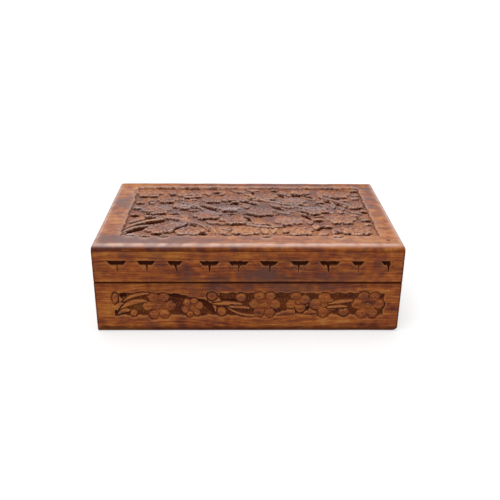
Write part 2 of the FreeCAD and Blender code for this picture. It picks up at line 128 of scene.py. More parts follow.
def flower(x, y, radius, turn, cut, seed, count=form["petals"]):
    # round petals on a ring about a round boss, each with a falling rim, a hollow with a drilled eye, and
    # three short cuts that fan out along it
    draw = np.random.default_rng(seed)
    angles = np.radians(turn + np.arange(count) * 360 / count + draw.uniform(*form["turnSpread"], count))
    sizes = radius * cut["petal"] * math.sqrt(form["petals"] / count)
    sizes = sizes * draw.uniform(*form["sizeSpread"], count)
    reaches = (radius - sizes) * draw.uniform(*form["reachSpread"], count)
    cut = {**cut, "moatWidth": cut["moatWidth"] * draw.uniform(*form["moatSpread"])}
    boss = radius * cut["boss"]

    def shape(dx, dy):
        far = np.hypot(dx, dy)
        edge = cut["heart"] * radius - far
        top = np.full(dx.shape, cut["crease"])
        for angle, size, reach in zip(angles, sizes, reaches):
            out = dx * math.cos(angle) + dy * math.sin(angle)
            aside = np.abs(dy * math.cos(angle) - dx * math.sin(angle))
            share = np.hypot(out - reach, aside) / size
            edge = np.maximum(edge, size * (1 - share))
            fan = np.minimum(aside, np.abs(aside - form["fanSlope"] * (out - form["fanStart"] * reach)))
            along = (out - reach) / (form["nickReach"] * size)
            nick = cut["nick"] * np.exp(-along ** 4 - (fan / cut["nickWidth"]) ** 2)
            dome = cut["crown"] * share ** cut["domePower"]
            top = np.minimum(top, dome + hollowed(share, cut, form["petalEye"]) + nick)
        bossDepth = form["bossTop"] + cut["crease"] * form["bossFall"] * (far / boss) ** 3
        return edge, np.where(far < boss, bossDepth, top) + cut["dot"] * bell(far, form["dotWidth"])

    return x, y, radius + form["margin"], cut, shape


def bud(x, y, radius, cut, stretch=1.0):
    # round or upright oval dome with a hollow and a drilled eye
    def shape(dx, dy):
        share = np.hypot(dx, dy / stretch) / radius
        return radius * (1 - share), cut["crown"] * share ** 3 + hollowed(share, cut, form["budEye"])

    return x, y, radius * stretch + form["margin"], cut, shape


def leaf(x0, y0, x1, y1, bend, width, cut, rib=0.0):
    # blade between two points: its middle line is a parabola, its width falls to nothing at both ends, and
    # a rib may be cut along it
    length = math.hypot(x1 - x0, y1 - y0)
    ux, uy = (x1 - x0) / length, (y1 - y0) / length

    def shape(dx, dy):
        share = (dx * ux + dy * uy) / length + 0.5
        inner = np.clip(share, 0, 1)
        bow = 4 * inner * (1 - inner)
        aside = np.abs(dy * ux - dx * uy - bend * length * bow)
        half = width / 2 * bow ** cut["taper"]
        beyond = length * np.maximum(np.maximum(-share, share - 1), 0)
        across = np.minimum(aside / np.maximum(half, form["leastHalf"]), form["mostAcross"])
        top = cut["leafDrop"] + cut["leafCrown"] * across ** 2 + rib * bell(aside, form["ribWidth"])
        return half - aside - beyond, top

    return (x0 + x1) / 2, (y0 + y1) / 2, length / 2 + width + form["margin"], cut, shape


def carved(x, y, field, motifs, ground, seed, pastEdge=(-1.5, 0.5), probe=0.3, frontward=(0.0, 0.95)):
    # depth under the surface: the ground falls away inside the field's edge, and each motif in turn cuts a
    # moat, mostly along its front, and stands up out of it with a slightly ragged edge, leaning back so
    # that its rear tucks under the motif behind
    left, right, bottom, top = field
    wander = ground["wander"] * ripple(x, y, size=9, seed=seed)
    inside = np.minimum.reduce([x - left, right - x, y - bottom, top - y]) + wander
    stretch = ground["markStretch"]
    marks = ground["marks"] * ripple(x * stretch, y / stretch, size=2.6, seed=seed + 1)
    depth = (ground["depth"] + marks) * ramp(inside, 0, ground["wall"])
    kept = 1 - ground["borderMoat"] * (1 - ramp(inside, *pastEdge))      # shallow past the edge
    ragged = ground["ragged"] * ripple(x, y, size=3.2, seed=seed + 2)
    tooled = ground["tooled"] * (1 + ripple(x, y, size=1.9, seed=seed + 3))
    for cx, cy, reach, cut, shape in motifs:
        near = np.nonzero((np.abs(x - cx) < reach) & (np.abs(y - cy) < reach))
        dx, dy, before = x[near] - cx, y[near] - cy, depth[near]
        edge, crown = shape(dx, dy)
        facing = (shape(dx, dy + probe)[0] - edge) / probe      # 1 before the motif, -1 behind it
        edge = edge + ragged[near]
        front = 1 - cut["frontBias"] * (1 - ramp(facing, *frontward))
        moat = cut["moat"] * front * kept[near]
        moat = moat * ramp(edge, -cut["wall"] - cut["moatWidth"] * front, -cut["wall"])
        under = np.maximum(before, moat)
        lean = cut["lean"] * np.clip(0.5 + dy / (2 * (reach - form["margin"])), 0, 1)
        level = np.minimum(before, lean) + crown + tooled[near]
        depth[near] = under + (level - under) * ramp(edge, -cut["wall"], 0)
    return depth


# Carving of the lid. Places are hundredths of the field's half length and half width, from its middle. A
# flower has a turn in degrees, and what is long has two ends and a bend in hundredths of its length.
lidCarving = {
    "border": (16.3, 13.7, 16.0, 11.5),      # left, right, front and back
    "flowerRadius": 10.9, "smallFlowerRadius": 8.2, "budRadius": 3.2, "leafWidth": 5.4, "stemWidth": 2.4,
    # ground, the moats round the motifs, and tool marks
    "depth": 1.6, "wall": 0.35, "moat": 3.4, "moatWidth": 3.5, "frontBias": 0.82, "borderMoat": 0.3,
    "wander": 0.3, "lean": 1.5, "marks": 0.1, "markStretch": 1.0, "ragged": 0.22, "tooled": 0.05,
    # petals, as shares of a flower's radius and depths
    "petal": 0.355, "heart": 0.46, "crown": 0.42, "domePower": 4.0, "crease": 0.75, "dish": 0.1, "eye": 0.0,
    "nick": 0.7, "nickWidth": 0.5, "boss": 0.17, "dot": 0.3,
    # leaves and cuts
    "leafDrop": 0.14, "leafCrown": 0.3, "rib": 0.3, "taper": 0.85, "bladeMoat": 3.1, "bladeMoatWidth": 3.0,
    "slotDepth": 3.1, "edgeCutDepth": 1.5, "strokeDepth": 2.2, "strokeWidth": 3.2, "strokeSpread": 0.3,
    "stain": (1.2, 2.4), "steep": (1.0, 3.0),      # depth and slope at which the stain and painted shade start and are full
    "flowers": [
        (-89, 79, 0), (-51, 75, 15), (-54, 27, 30), (-35, -13, 10), (-48, -73, 0), (-71, -66, 20),
        (-3, -72, 30), (-12, -32, 5), (-12, 54, 25), (14, 65, 10), (38, 43, 0), (10, 0, 15), (55, 6, 30),
        (32, -35, 20), (75, -30, 0), (38, -73, 10), (84, -72, 25), (79, 74, 5), (-78, 6, 10),
    ],
    "smallFlowers": [(-17, 13, 0), (90, 25, 15), (47, 85, 20), (-71, 49, 0), (-32, 49, 10)],
    "buds": [
        (-94, 36), (-95, 13), (-95, -14), (-92, -90), (62, 40), (56, -33), (95, -33), (96, 0), (-28, 84),
        (62, -58), (96, 92), (12, -94), (67, -93), (23, 93), (-66, -94), (-80, -93),
    ],
    "leaves": [
        (-98, -70, -66, -34, 12), (-97, -48, -74, -18, 12), (-98, -86, -84, -60, 12),
        (-40, 32, -27, 10, 0), (16, 34, 27, 16, 10), (40, 8, 46, -20, 10), (50, 66, 57, 46, 10),
        (68, 50, 72, 12, 8), (77, 46, 79, 2, 5), (14, -42, 18, -84, 10), (53, -94, 62, -72, 0),
        (-25, -56, -21, -93, 10), (29, 94, 33, 70, 0), (-16, 93, -1, 82, 0), (-38, 95, -35, 68, 0),
        (-72, 95, -66, 68, 0), (65, 95, 64, 56, 0), (-58, -8, -52, -34, 10), (2, 44, 8, 25, 0),
        (-4, 34, -2, 10, 5), (90, 50, 98, 62, 0), (84, 2, 94, -12, 10), (17, -60, 28, -57, 10),
        (52, -46, 53, -72, 0), (-88, 56, -83, 28, 5), (-87, -16, -80, -22, 0), (-69, -16, -61, -34, 8),
        (-63, -44, -57, -62, 0), (-36, -38, -24, -50, 0), (-36, -52, -30, -76, 10), (2, -44, 13, -52, 0),
        (50, -17, 62, -20, 10), (22, 0, 34, -12, 10), (27, 24, 40, 16, 0), (-20, 34, -6, 32, 5),
        (-61, 50, -45, 48, 8), (92, -46, 98, -52, 0), (66, 6, 70, -10, 0), (-25, 68, -22, 94, 0),
        (-2, 96, 10, 89, 0), (65, -86, 70, -62, 0), (46, -28, 49, -52, 5), (80, 52, 87, 42, 0),
        (-77, -22, -70, -34, 0), (-4, 82, 2, 68, 0), (94, 80, 97, 64, 0), (74, 4, 81, -8, 0),
        (-56, -54, -48, -46, 0), (11, -60, 12, -87, 0), (84, -10, 90, -22, 0), (35, 76, 39, 64, 0),
    ],
    "stems": [
        (-62, -36, -29, -82, 22), (-56, -40, -40, -50, 12), (22, -13, 40, -4, 20),
        (-24, -53, 10, -53, 10), (58, 32, 68, 12, 10), (44, 26, 52, 24, 10),
    ],
    "blades": [      # long narrow leaves laid over the flowers, each with its own width
        (-98.5, -68, -64, -29, 12, 3), (-99, -82, -78, -55, 13, 3), (-74, -24, -40, -46, 6, 2.4),
        (-43, -45, -27, -82, 12, 2.4), (-60, -38, -33, -74, 18, 2), (30, 30, 55, -6, 10, 2.4),
        (62, 62, 86, 20, 8, 2.6), (-4, -50, 24, -62, -8, 2.2), (-62, 42, -38, 2, 8, 2.2),
        (2, 52, 30, 28, 6, 2.2),
    ],
    "slots": [      # dark cuts in front of the blades, each with its own width
        (-95, -73, -67, -38, 11, 7), (-96, -87, -79, -64, 12, 5.6), (-40, -88, -33, -88, 0, 5),
        (-60, -81, -49, -52, 10, 2.6),
    ],
    "edgeCuts": [      # shallow cuts along the rear edge, each with its own width
        (-85, 98, -63, 97, 0, 2), (-61, 97, -41, 97, 0, 2), (-38, 97, -23, 97, 0, 2),
        (17, 97, 29, 97, 0, 1.8), (49, 97, 58, 97, 0, 1.8), (66, 98, 84, 98, 0, 1.8),
    ],
    "strokes": [      # short cuts between the leaves
        (48, 70, 57, 49, 8), (66, 49, 71, 30, 5), (73, 39, 80, 15, 5), (39, 5, 50, -15, 5),
        (19, 19, 30, 0, 6), (43, -13, 50, -37, 8), (14, -48, 18, -73, 5), (53, -74, 61, -56, 5),
        (66, -74, 73, -84, 0), (86, -30, 98, -32, 8), (-5, -20, 1, -40, 5), (-2, 79, 8, 76, 5),
        (-8, 38, 9, 26, 5), (-2, 53, 10, 42, 5), (22, 80, 31, 56, 8), (36, 72, 46, 63, 0),
        (70, 54, 84, 54, -5), (-70, 65, -64, 70, 0), (-57, 63, -43, 68, 5), (-87, 36, -80, 43, 5),
        (-47, 28, -24, -7, 6), (-53, -1, -41, 2, -6), (-86, -34, -75, -23, 5), (-87, -17, -80, -6, 5),
        (-68, -17, -54, -10, 6), (-62, -36, -49, -38, 5), (-18, -9, -11, -16, 0), (-6, -11, 9, -24, 5),
        (-24, -71, -13, -75, -6), (-24, -87, -12, -95, 0), (-50, -49, -42, -59, 0), (-23, 38, -8, 41, 0),
        (-72, 47, -63, 52, 0), (-97, -97, -87, -98, 0), (-84, -97, -76, -97, 0), (-70, -96, -60, -96, 0),
    ],
}

# Carving of the front band, in millimetres from the middle of the front and from the underside. What is
# long has two ends, a bend as a share of its length, and a width.
frontCarving = {
    "bottom": 11.8, "top": 29.0, "endLeft": 12.5, "endRight": 10.7, "rowMargin": 1.5,
    "depth": 1.8, "wall": 0.45, "moat": 1.9, "moatWidth": 0.7, "frontBias": 0.0, "borderMoat": 0.6,
    "wander": 0.35, "lean": 0.0, "marks": 0.1, "markStretch": 1.4, "ragged": 0.16, "tooled": 0.06,
    "petal": 0.33, "heart": 0.46, "crown": 1.05, "domePower": 2.2, "crease": 1.0, "dish": 0.12, "eye": 0.3,
    "nick": 0.0, "nickWidth": 0.34, "boss": 0.17, "dot": 0.5,
    "leafDrop": 0.2, "leafCrown": 0.9, "rib": 0.0, "taper": 0.7, "bladeMoat": 1.9, "bladeMoatWidth": 0.7,
    "slotDepth": 2.5, "restCrown": 0.15,
    # depth and slope at which the stain and painted shade start and are full
    "stain": (0.6, 2.3), "steep": (1.4, 4.2),
    "flowers": [      # each with a radius, a turn and a count of petals
        (-59.4, 19, 10.8, 0, 6), (11.1, 20.1, 10.4, 0, 6), (80, 19.8, 10.9, 0, 6),
        (-37.4, 17.6, 7.4, 15, 6), (33.2, 21.5, 8, 18, 4), (50.2, 19.4, 9.4, 88, 4),
    ],
    "buds": [      # each with a radius and an upright stretch
        (-24.1, 26.2, 3.2, 1), (-4.8, 25.4, 3.3, 1), (-17.7, 14.6, 3.1, 1.1), (64, 14.6, 3.4, 1),
        (-88.2, 24.8, 2.1, 1.75), (-76.4, 13.4, 2.3, 1),
    ],
    "leaves": [(-86, 15.6, -66.5, 22.2, 0.12, 3.4), (-87.2, 12.4, -77.5, 15, 0.16, 3.2)],
    "stems": [
        (-83.8, 21.8, -63.5, 28.2, 0.1, 2.7), (-24, 20.6, -3.6, 20.3, 0, 3),
        (-17.5, 17.8, 2.5, 17, 0.03, 2.3), (-14.5, 18.2, 6, 11.4, -0.1, 2),
    ],
    "blades": [(53, 20.2, 70.5, 23, 0.02, 2.7), (52, 17.6, 66.5, 18.4, 0.03, 2.4)],
    "rests": [      # stretches left at the height of the border
        (-46, 28.8, -19, 27.6, 0.02, 5), (-40, 27.4, -18, 22.6, 0.06, 5.4),
        (-95, 27.6, -81, 24, -0.04, 5), (-92, 17.6, -82.5, 20.6, 0, 6), (8, 10.4, 60, 11.6, 0, 4.4),
        (-56.5, 29.6, -18.6, 11.6, 0.175, 5.4), (14.5, 10, 48.5, 20.6, -0.03, 6.6),
        (38, 12, 56, 15.5, 0.05, 7),
    ],
    "slots": [      # dark cuts deeper than the ground
        (-35.4, 24, -22.4, 12, 0.13, 4.6), (31.5, 13.4, 43.6, 19.8, 0, 2.8),
        (-53.5, 26.6, -41, 24.4, 0.04, 3), (-84.1, 28.8, -83.6, 24.8, 0, 1.4),
        (-82.3, 28.8, -82, 25.4, 0, 1.4), (-79, 27, -66, 28.6, 0, 1.6), (-18.2, 22.8, -8, 22.8, 0, 1.6),
    ],
}

# Carving of the side bands, laid out as the lid's is, with the front's cuts
sideCarving = {
    "flowerRadius": 10.8, "smallFlowerRadius": 7.8, "budRadius": 3.3, "leafWidth": 5.2, "stemWidth": 2.8,
    "flowers": [(-58, 0, 0), (46, 4, 0)],
    "smallFlowers": [(2, -10, 30), (88, -16, 90)],
    "buds": [(-93, 55), (-88, -60), (-22, 58), (19, 62), (74, 64), (-28, -62)],
    "leaves": [(10, -92, 34, -60, 10), (60, -94, 80, -50, 10), (-52, 96, -10, 30, 14)],
    "stems": [(-40, -10, -10, -16, 6), (-42, -44, -8, -90, 8)],
    "blades": [(12, 20, 34, 30, 10, 2.8)],
    "slots": [], "edgeCuts": [], "strokes": [],
}

# Row of gouges under the lid's slab, as cut by hand along the front and evenly spaced on the sides
gouges = {
    "top": 52.1, "height": 3.3, "depth": 2.1, "endSlant": 2.4, "bellyPower": 0.8, "barWall": (-0.15, 0.5),
    "depthSpread": (0.9, 1.1), "topSpread": (-0.2, 0.2), "edgeWave": 0.07,
    # the stem, its flare and the arcs beside it
    "stemWidth": 1.15, "stemHeight": 5.6, "stemTaper": 1.4, "stemLeast": 0.05, "stemWall": (-0.25, 0.4),
    "stemTop": (0.5, 1.5), "stemFade": 1.8, "fillet": 0.65, "filletFrom": 0.8, "filletFall": 0.9,
    "arcDepth": 0.6, "arcSpread": (0.2, 1), "arcAside": 2.7, "arcSquash": 0.8, "arcDown": 6.4,
    "arcRadius": 2.1, "arcWidth": 0.3, "arcEnd": 6.8, "rowsAbove": 1.0, "rowsBelow": 9.0,
    # depth and slope at which the stain and painted shade start and are full
    "stain": (0.3, 1.1), "steep": (1.0, 3.0),
    "front": [      # middle, width, and the stem's shift, lean and share of the depth
        (-85.4, 12.8, 0.2, 0.06, 0.4), (-66.4, 12, 0.5, 0, 0.45), (-47.8, 10, 0.4, 0.22, 0.6),
        (-25.3, 13, 0, -0.02, 0.7), (-6.4, 13.4, 0, -0.03, 0.45), (13.3, 12, 0.6, 0, 0.5),
        (33.3, 12.2, -0.7, 0, 0.45), (52.7, 13.4, -0.9, 0.1, 0.8), (71.2, 8.4, 0.5, 0.02, 0.45),
        (89.2, 5.8, 2, 0.03, 0.7),
    ],
    "sidePitch": 19.6, "sideFirst": 15.8, "sideLast": 10.2, "sideWidth": 12.4, "sideStem": 0.6,
}


def sunk(cut, depth, crown=0.0):      # a cut of one depth, with no moat round it
    return {**cut, "leafDrop": depth, "leafCrown": crown, "moat": 0.0}


def placed(layout, field, cut, seed):      # motifs of a layout in hundredths, lowest and foremost first
    left, right, bottom, top = field
    draw = np.random.default_rng(seed)

    def spot(u, v):
        return ((left + right) / 2 + u / 100 * (right - left) / 2,
                (bottom + top) / 2 + v / 100 * (top - bottom) / 2)

    def line(x0, y0, x1, y1, bend, width, tool=cut, rib=0.0):
        return leaf(*spot(x0, y0), *spot(x1, y1), bend / 100, width, tool, rib)

    low = [line(*place, layout["stemWidth"]) for place in layout["stems"]]
    low += [line(*place, layout["leafWidth"], cut, cut["rib"]) for place in layout["leaves"]]
    high = [bud(*spot(*place), layout["budRadius"] * draw.uniform(*form["budSpread"]), cut)
            for place in layout["buds"]]
    for kind in ("smallFlower", "flower"):
        high += [flower(*spot(u, v), layout[f"{kind}Radius"], turn, cut, seed + number)
                 for number, (u, v, turn) in enumerate(layout[f"{kind}s"])]
    made = [motif for group in (low, high) for motif in sorted(group, key=lambda motif: motif[1])]
    for place in layout["strokes"]:      # wider toward the rear
        width = cut["strokeWidth"] * (1 + cut["strokeSpread"] * (place[1] + place[3]) / 200)
        made.append(line(*place, width, sunk(cut, cut["strokeDepth"])))
    for kind, depth in (("edgeCuts", "edgeCutDepth"), ("slots", "slotDepth")):
        made += [line(*place, sunk(cut, cut[depth])) for place in layout[kind]]
    over = {**cut, "moat": cut["bladeMoat"], "moatWidth": cut["bladeMoatWidth"]}
    return made + [line(*place, over) for place in layout["blades"]]


left, right, front, back = lidCarving["border"]
lidField = (left - halfLength, halfLength - right, front - halfDepth, halfDepth - back)


def bandField(half):      # left, right, bottom and top of a wall's band
    return (frontCarving["endLeft"] - half, half - frontCarving["endRight"],
            frontCarving["bottom"], frontCarving["top"])


def frontMotifs():      # rests and slots first, and the blades over all
    cut = frontCarving
    made = [leaf(*place, sunk(cut, 0.0, cut["restCrown"])) for place in cut["rests"]]
    made += [leaf(*place, sunk(cut, cut["slotDepth"])) for place in cut["slots"]]
    made += [leaf(*place, cut) for place in cut["stems"]]
    made += [leaf(*place, cut, cut["rib"]) for place in cut["leaves"]]
    made += [bud(x, z, radius, cut, stretch) for x, z, radius, stretch in cut["buds"]]
    made += [flower(x, z, radius, turn, cut, seed=70 + number, count=count)
             for number, (x, z, radius, turn, count) in enumerate(cut["flowers"])]
    return made + [leaf(*place, cut) for place in cut["blades"]]


def gouged(x, z, row):
    # each gouge: a boat-shaped bar that is deepest at its straight top edge, a tapering stem that flares
    # into it, and two faint arcs beside the stem
    cut = gouges
    depth = np.zeros(x.shape)
    draw = np.random.default_rng(seed=8)
    wave = cut["edgeWave"] * ripple(x, z, size=4.5, seed=9)
    foot = cut["height"] + cut["stemHeight"]
    for middle, width, shift, lean, share in row:
        sink = cut["depth"] * draw.uniform(*cut["depthSpread"])
        under = cut["top"] + draw.uniform(*cut["topSpread"]) - z + wave
        side = x - middle
        belly = np.clip((width / 2 - np.abs(side)) / cut["endSlant"], 0, 1) ** cut["bellyPower"]
        bar = np.minimum(under, cut["height"] * belly - under)
        below = np.clip(under - cut["filletFrom"] * cut["height"], 0, None)
        fillet = cut["fillet"] * np.exp(-below / cut["filletFall"])
        half = cut["stemWidth"] / 2 * np.clip(cut["stemTaper"] - under / foot, cut["stemLeast"], 1) + fillet
        stem = half - np.abs(side - shift - lean * (under - cut["height"]))
        along = ramp(under, *cut["stemTop"]) * ramp(under, foot, foot - cut["stemFade"])
        ring = np.hypot((np.abs(side - shift) - cut["arcAside"]) / cut["arcSquash"], under - cut["arcDown"])
        faint = cut["arcDepth"] * draw.uniform(*cut["arcSpread"]) * ramp(cut["arcEnd"] - under, 0, 1)
        depth = np.maximum.reduce([
            depth, sink * ramp(bar, *cut["barWall"]), share * sink * ramp(stem, *cut["stemWall"]) * along,
            faint * bell(ring - cut["arcRadius"], cut["arcWidth"])])
    return depth


pinHeads = {"radius": 0.9, "hole": 1.0, "sink": 0.55, "wall": (-0.25, 0.15)}      # hole: its radius


def dimpled(depth, x, y, spots):      # round nail holes, cut down to the punched heads
    for px, py in spots:
        inside = pinHeads["hole"] - np.hypot(x - px, y - py)
        depth = np.maximum(depth, pinHeads["sink"] * ramp(inside, *pinHeads["wall"]))
    return depth


# Meshes

def added(name, data):      # a new object in the scene
    made = bpy.data.objects.new(name, data)
    bpy.context.scene.collection.objects.link(made)
    return made


def addPiece(name, points, faces, caps, marks, sharpAngle=80):
    # a mesh from a whole array of points, rings of four-sided faces and a few flat caps
    mesh = bpy.data.meshes.new(name)
    loops = np.concatenate([faces.ravel(), *caps]).astype(np.int32)
    corners = np.concatenate([np.full(len(faces), 4), [len(cap) for cap in caps]])
    mesh.vertices.add(len(points))
    mesh.vertices.foreach_set("co", (points * mm).astype(np.float32).ravel())
    mesh.loops.add(len(loops))
    mesh.loops.foreach_set("vertex_index", loops)
    mesh.polygons.add(len(corners))
    mesh.polygons.foreach_set("loop_start", (np.cumsum(corners) - corners).astype(np.int32))
    mesh.update(calc_edges=True)
    mesh.set_sharp_from_angle(angle=math.radians(sharpAngle))
    for key, values in marks.items():
        layer = mesh.attributes.new(key, "FLOAT", "POINT")
        layer.data.foreach_set("value", values.astype(np.float32).ravel())
    return added(name, mesh)


def gridFaces(rows, columns, wrap):      # four-sided faces between neighbouring rows and columns
    index = np.arange(rows * columns).reshape(rows, columns)
    following = np.roll(index, -1, axis=1) if wrap else index[:, 1:]
    index = index if wrap else index[:, :-1]
    return np.stack([index[:-1], following[:-1], following[1:], index[1:]], axis=-1).reshape(-1, 4)


def recessMarks(depth, slope, cut, passes=6, wall=(0.05, 0.3), creviceShadeFull=0.3, rubbedHighlitFull=0.45):
    # how stained the recesses are, with painted shade in them and on their steep walls; how dark the
    # crevices are, painted as shade; how rubbed the edges are, lighter by wear and a painted highlight
    hollow = depth - softened(depth, passes)
    walls = ramp(slope, *cut["steep"]) * ramp(depth, *wall)
    return {"stain": np.maximum(ramp(depth, *cut["stain"]), walls),
            "crevice": np.clip(hollow / creviceShadeFull, 0, 1), "rubbed": np.clip(-hollow / rubbedHighlitFull, 0, 1)}


def softSpots(x, y, spots):      # sum of soft oval spots
    return sum(strength * np.exp(-((x - px) / reachX) ** 2 - ((y - py) / reachY) ** 2)
               for px, py, reachX, reachY, strength in spots)


def warmth(x, y, plan, patches, seed):      # patches, over large waves and small ones half as strong
    large, small = (ripple(x, y, size, seed + number) for number, size in enumerate(plan["patchSizes"]))
    return plan["patchEdge"] * (large + 0.5 * small) + softSpots(x, y, patches)


# Boards of the base and the lid frame

board = {
    "cornerRound": 1.5, "footRound": 1.8, "rimRound": 0.6, "jointRound": 0.35, "rebateDepth": 5.8,
    "bevelDepth": 2.0, "bevelAngle": 50.0, "bevelReach": 4.0, "grooveRadius": 2.3, "grooveFlat": 1.9,
    "leafThickness": 1.0, "leafClearance": 0.1, "wornCorner": 3.6, "wornReach": 9.0, "skin": 3.0,
    "fine": 0.32, "coarse": 1.2, "plainBand": (8.0, 9.0), "uneven": 0.05, "evenEnds": 2.0,
    "grime": {      # dirt and painted shade: strength, and the distances from the edge where it starts and is full
        # rim and joint: painted shade in the gaps; shade: painted shadow under the lid; foot: dirt and
        # painted shade; corner: painted shade on the round corners
        "rim": (1.0, 1.0, 0.2), "shade": (0.22, 4.2, 1.0), "foot": (0.8, 4.6, 2.4),
        "joint": (0.5, 0.45, 0.1), "corner": (0.8, 1.8, 0.5),
    },
    "edgeRub": 0.25, "jointRub": (1.0, 0.45), "rimRub": (1.7, 0.5),      # arrises rubbed lighter with a painted highlight: strength, then middle and width
    "footWander": 0.3, "patchEdge": 0.16, "patchSizes": (17, 6),
    "patches": [      # on the front: middle, reach across and up, how warm (up) or greyed with age (down)
        # the strips 33 mm up, just under the lid, are painted shadow of its overhang
        (-86, 26, 26, 16, 0.5), (-88, 46, 24, 7, 0.3), (-8, 33, 46, 5, -0.35), (20, 41, 60, 5, -0.45),
        (13, 45, 8, 5, -0.9), (62, 7, 40, 5, 0.4), (-30, 8, 40, 5, 0.15), (92, 22, 10, 16, 0.4),
        (48, 33, 34, 4, -0.45), (62, 10, 30, 4, 0.3),
    ],
}

sides = {      # distance from the middle, half width, and the ways along and inward of each side
    "front": (halfDepth, halfLength, (1, 0), (0, 1)),
    "right": (halfLength, halfDepth, (0, 1), (-1, 0)),
    "back": (halfDepth, halfLength, (-1, 0), (0, -1)),
    "left": (halfLength, halfDepth, (0, -1), (1, 0)),
}
bevelSlope = math.tan(math.radians(board["bevelAngle"]))
hairline = 0.05      # keeps two points of a profile apart


def arc(centre, radius, start, end, count=5):      # points of a circle between two angles in degrees
    angles = np.radians(np.linspace(start, end, count))
    return np.stack([centre[0] + radius * np.cos(angles), centre[1] + radius * np.sin(angles)], axis=1)


def innerRim(height):      # round edge at the top of the inner face
    radius = board["rimRound"]
    return arc((wallThickness - radius, height - radius), radius, 90, 0)


def roundRim(height):      # profile over a rim: depth from the outer face, and height from the far edge
    radius = board["rimRound"]
    outerRim = arc((radius, height - radius), radius, 180, 90)
    return np.concatenate([outerRim, [[wallThickness / 2, height]], innerRim(height)])


def bevelRim(height, mortised, slantPoints=4, groovePoints=9):
    # the back's rim: a bevel, with a barrel groove and a leaf's bed at a hinge, else flat
    deep, radius = board["bevelDepth"], board["grooveRadius"]
    axisRise = (lidRim - rimHeight) / 2
    bedEnd = deep + (hingePinLow[1] + hingePinHigh[1]) / 2 - hingeLow[1] + board["leafClearance"]
    if mortised:      # the bevel ends where it meets the groove, and the groove where it meets the bed
        a, b = 1 + bevelSlope ** 2, 2 * axisRise * bevelSlope
        reach = (-b + math.sqrt(b * b - 4 * a * (axisRise ** 2 - radius * radius))) / (2 * a)
        down = axisRise + board["leafThickness"]
        first = math.degrees(math.atan2(-axisRise - reach * bevelSlope, -reach)) + 360
        last = math.degrees(math.atan2(-down, math.sqrt(radius * radius - down * down))) + 360
        groove = arc((deep, height + axisRise), radius, first, last, groovePoints)[1:]
        bed = [[bedEnd, height - board["leafThickness"]], [bedEnd, height]]
    else:
        reach = 0.0
        across = np.linspace(deep, deep + board["grooveFlat"], groovePoints)[1:]
        groove = np.stack([across, np.full(len(across), height)], axis=1)
        bed = [[bedEnd - hairline, height], [bedEnd, height]]
    slant = np.linspace(0, deep - reach, slantPoints)
    bevel = np.stack([slant, height + (slant - deep) * bevelSlope], axis=1)
    return np.concatenate([bevel, groove, bed, innerRim(height)])


def boardProfiles(height, foot, fineBand, rims, faceEnd=0.4, innerEnd=0.8, innerPoints=6):
    # closed outlines across a board, one for each rim: up the outer face, over the rim, down the inner face
    # and round the floor's rebate
    low = board["footRound"] if foot else board["jointRound"]
    face = steps([low, *fineBand, height - faceEnd], board)
    start = arc((low, low), low, 270, 180)[:-1]
    fall = np.linspace(height - innerEnd, floorTop if foot else 0, innerPoints)
    inner = np.stack([np.full(innerPoints, wallThickness), fall], axis=1)
    rebate = np.array([[board["rebateDepth"], floorTop], [board["rebateDepth"], 0]])[:2 if foot else 0]
    profiles = []
    for rim in rims:
        end = rim[0, 1] - hairline
        rise = face if face[-1] < end else np.linspace(low, end, len(face))
        outer = np.stack([np.zeros(len(face)), rise], axis=1)
        profiles.append(np.concatenate([start, outer, rim, inner, rebate]))
    return np.stack(profiles)


def wornRise(side, height, foot, half, u, rise):
    # heights along a board: the back's bevel runs on across the rear ends of the sides, and the lower
    # corner between the front and the right is worn round
    if side in ("left", "right"):
        fromBack = half - (u if side == "right" else -u)
        drop = np.clip(board["bevelDepth"] - fromBack, 0, None) * bevelSlope
        bend = height - board["bevelReach"]
        rise = np.where(rise > bend, bend + (rise - bend) * (1 - drop / board["bevelReach"]), rise)
    if foot and side in ("front", "right"):
        worn, reach = board["wornCorner"], board["wornReach"]
        fromCorner = half - (u if side == "front" else -u)
        lift = worn - np.sqrt(worn ** 2 - np.clip(worn - fromCorner, 0, worn) ** 2)
        rise = np.where(rise < reach, lift + rise * (1 - lift / reach), rise)
    return rise


def boardMarks(side, height, foot, u, level, rise, push, outside, cut, leastStep=0.1):
    # marks of the relief with stain and painted shade, dirt and painted shade along the edges, arrises on a
    # rail rubbed lighter with a painted highlight, and patches on the front
    slopes = [np.gradient(push, axis=axis) / np.maximum(np.abs(np.gradient(values, axis=axis)), leastStep)
              for axis, values in enumerate((u, level))]
    marks = recessMarks(push, np.hypot(*slopes), cut)
    fromRim = height - rise
    distances = {"rim": fromRim, "corner": sides[side][1] - np.abs(u)}
    if foot:
        wander = board["footWander"] * ripple(u, level, size=12, seed=3)
        distances.update({"shade": fromRim, "foot": rise + wander})
    else:
        distances["joint"] = rise
        # arrises at the joint and the rim are rubbed lighter with a painted highlight
        light = sum(bell(distance - middle, width) for distance, (middle, width)
                    in ((rise, board["jointRub"]), (fromRim, board["rimRub"])))
        marks["rubbed"] = np.maximum(marks["rubbed"], board["edgeRub"] * light * outside)
    # dirt and painted shade along the edges
    for kind, distance in distances.items():
        strength, start, full = board["grime"][kind]
        marks["stain"] = np.maximum(marks["stain"], strength * ramp(distance, start, full) * outside)
    patches = board["patches"] if side == "front" else []
    marks["warmth"] = warmth(u, level, board, patches, seed=31)
    return marks


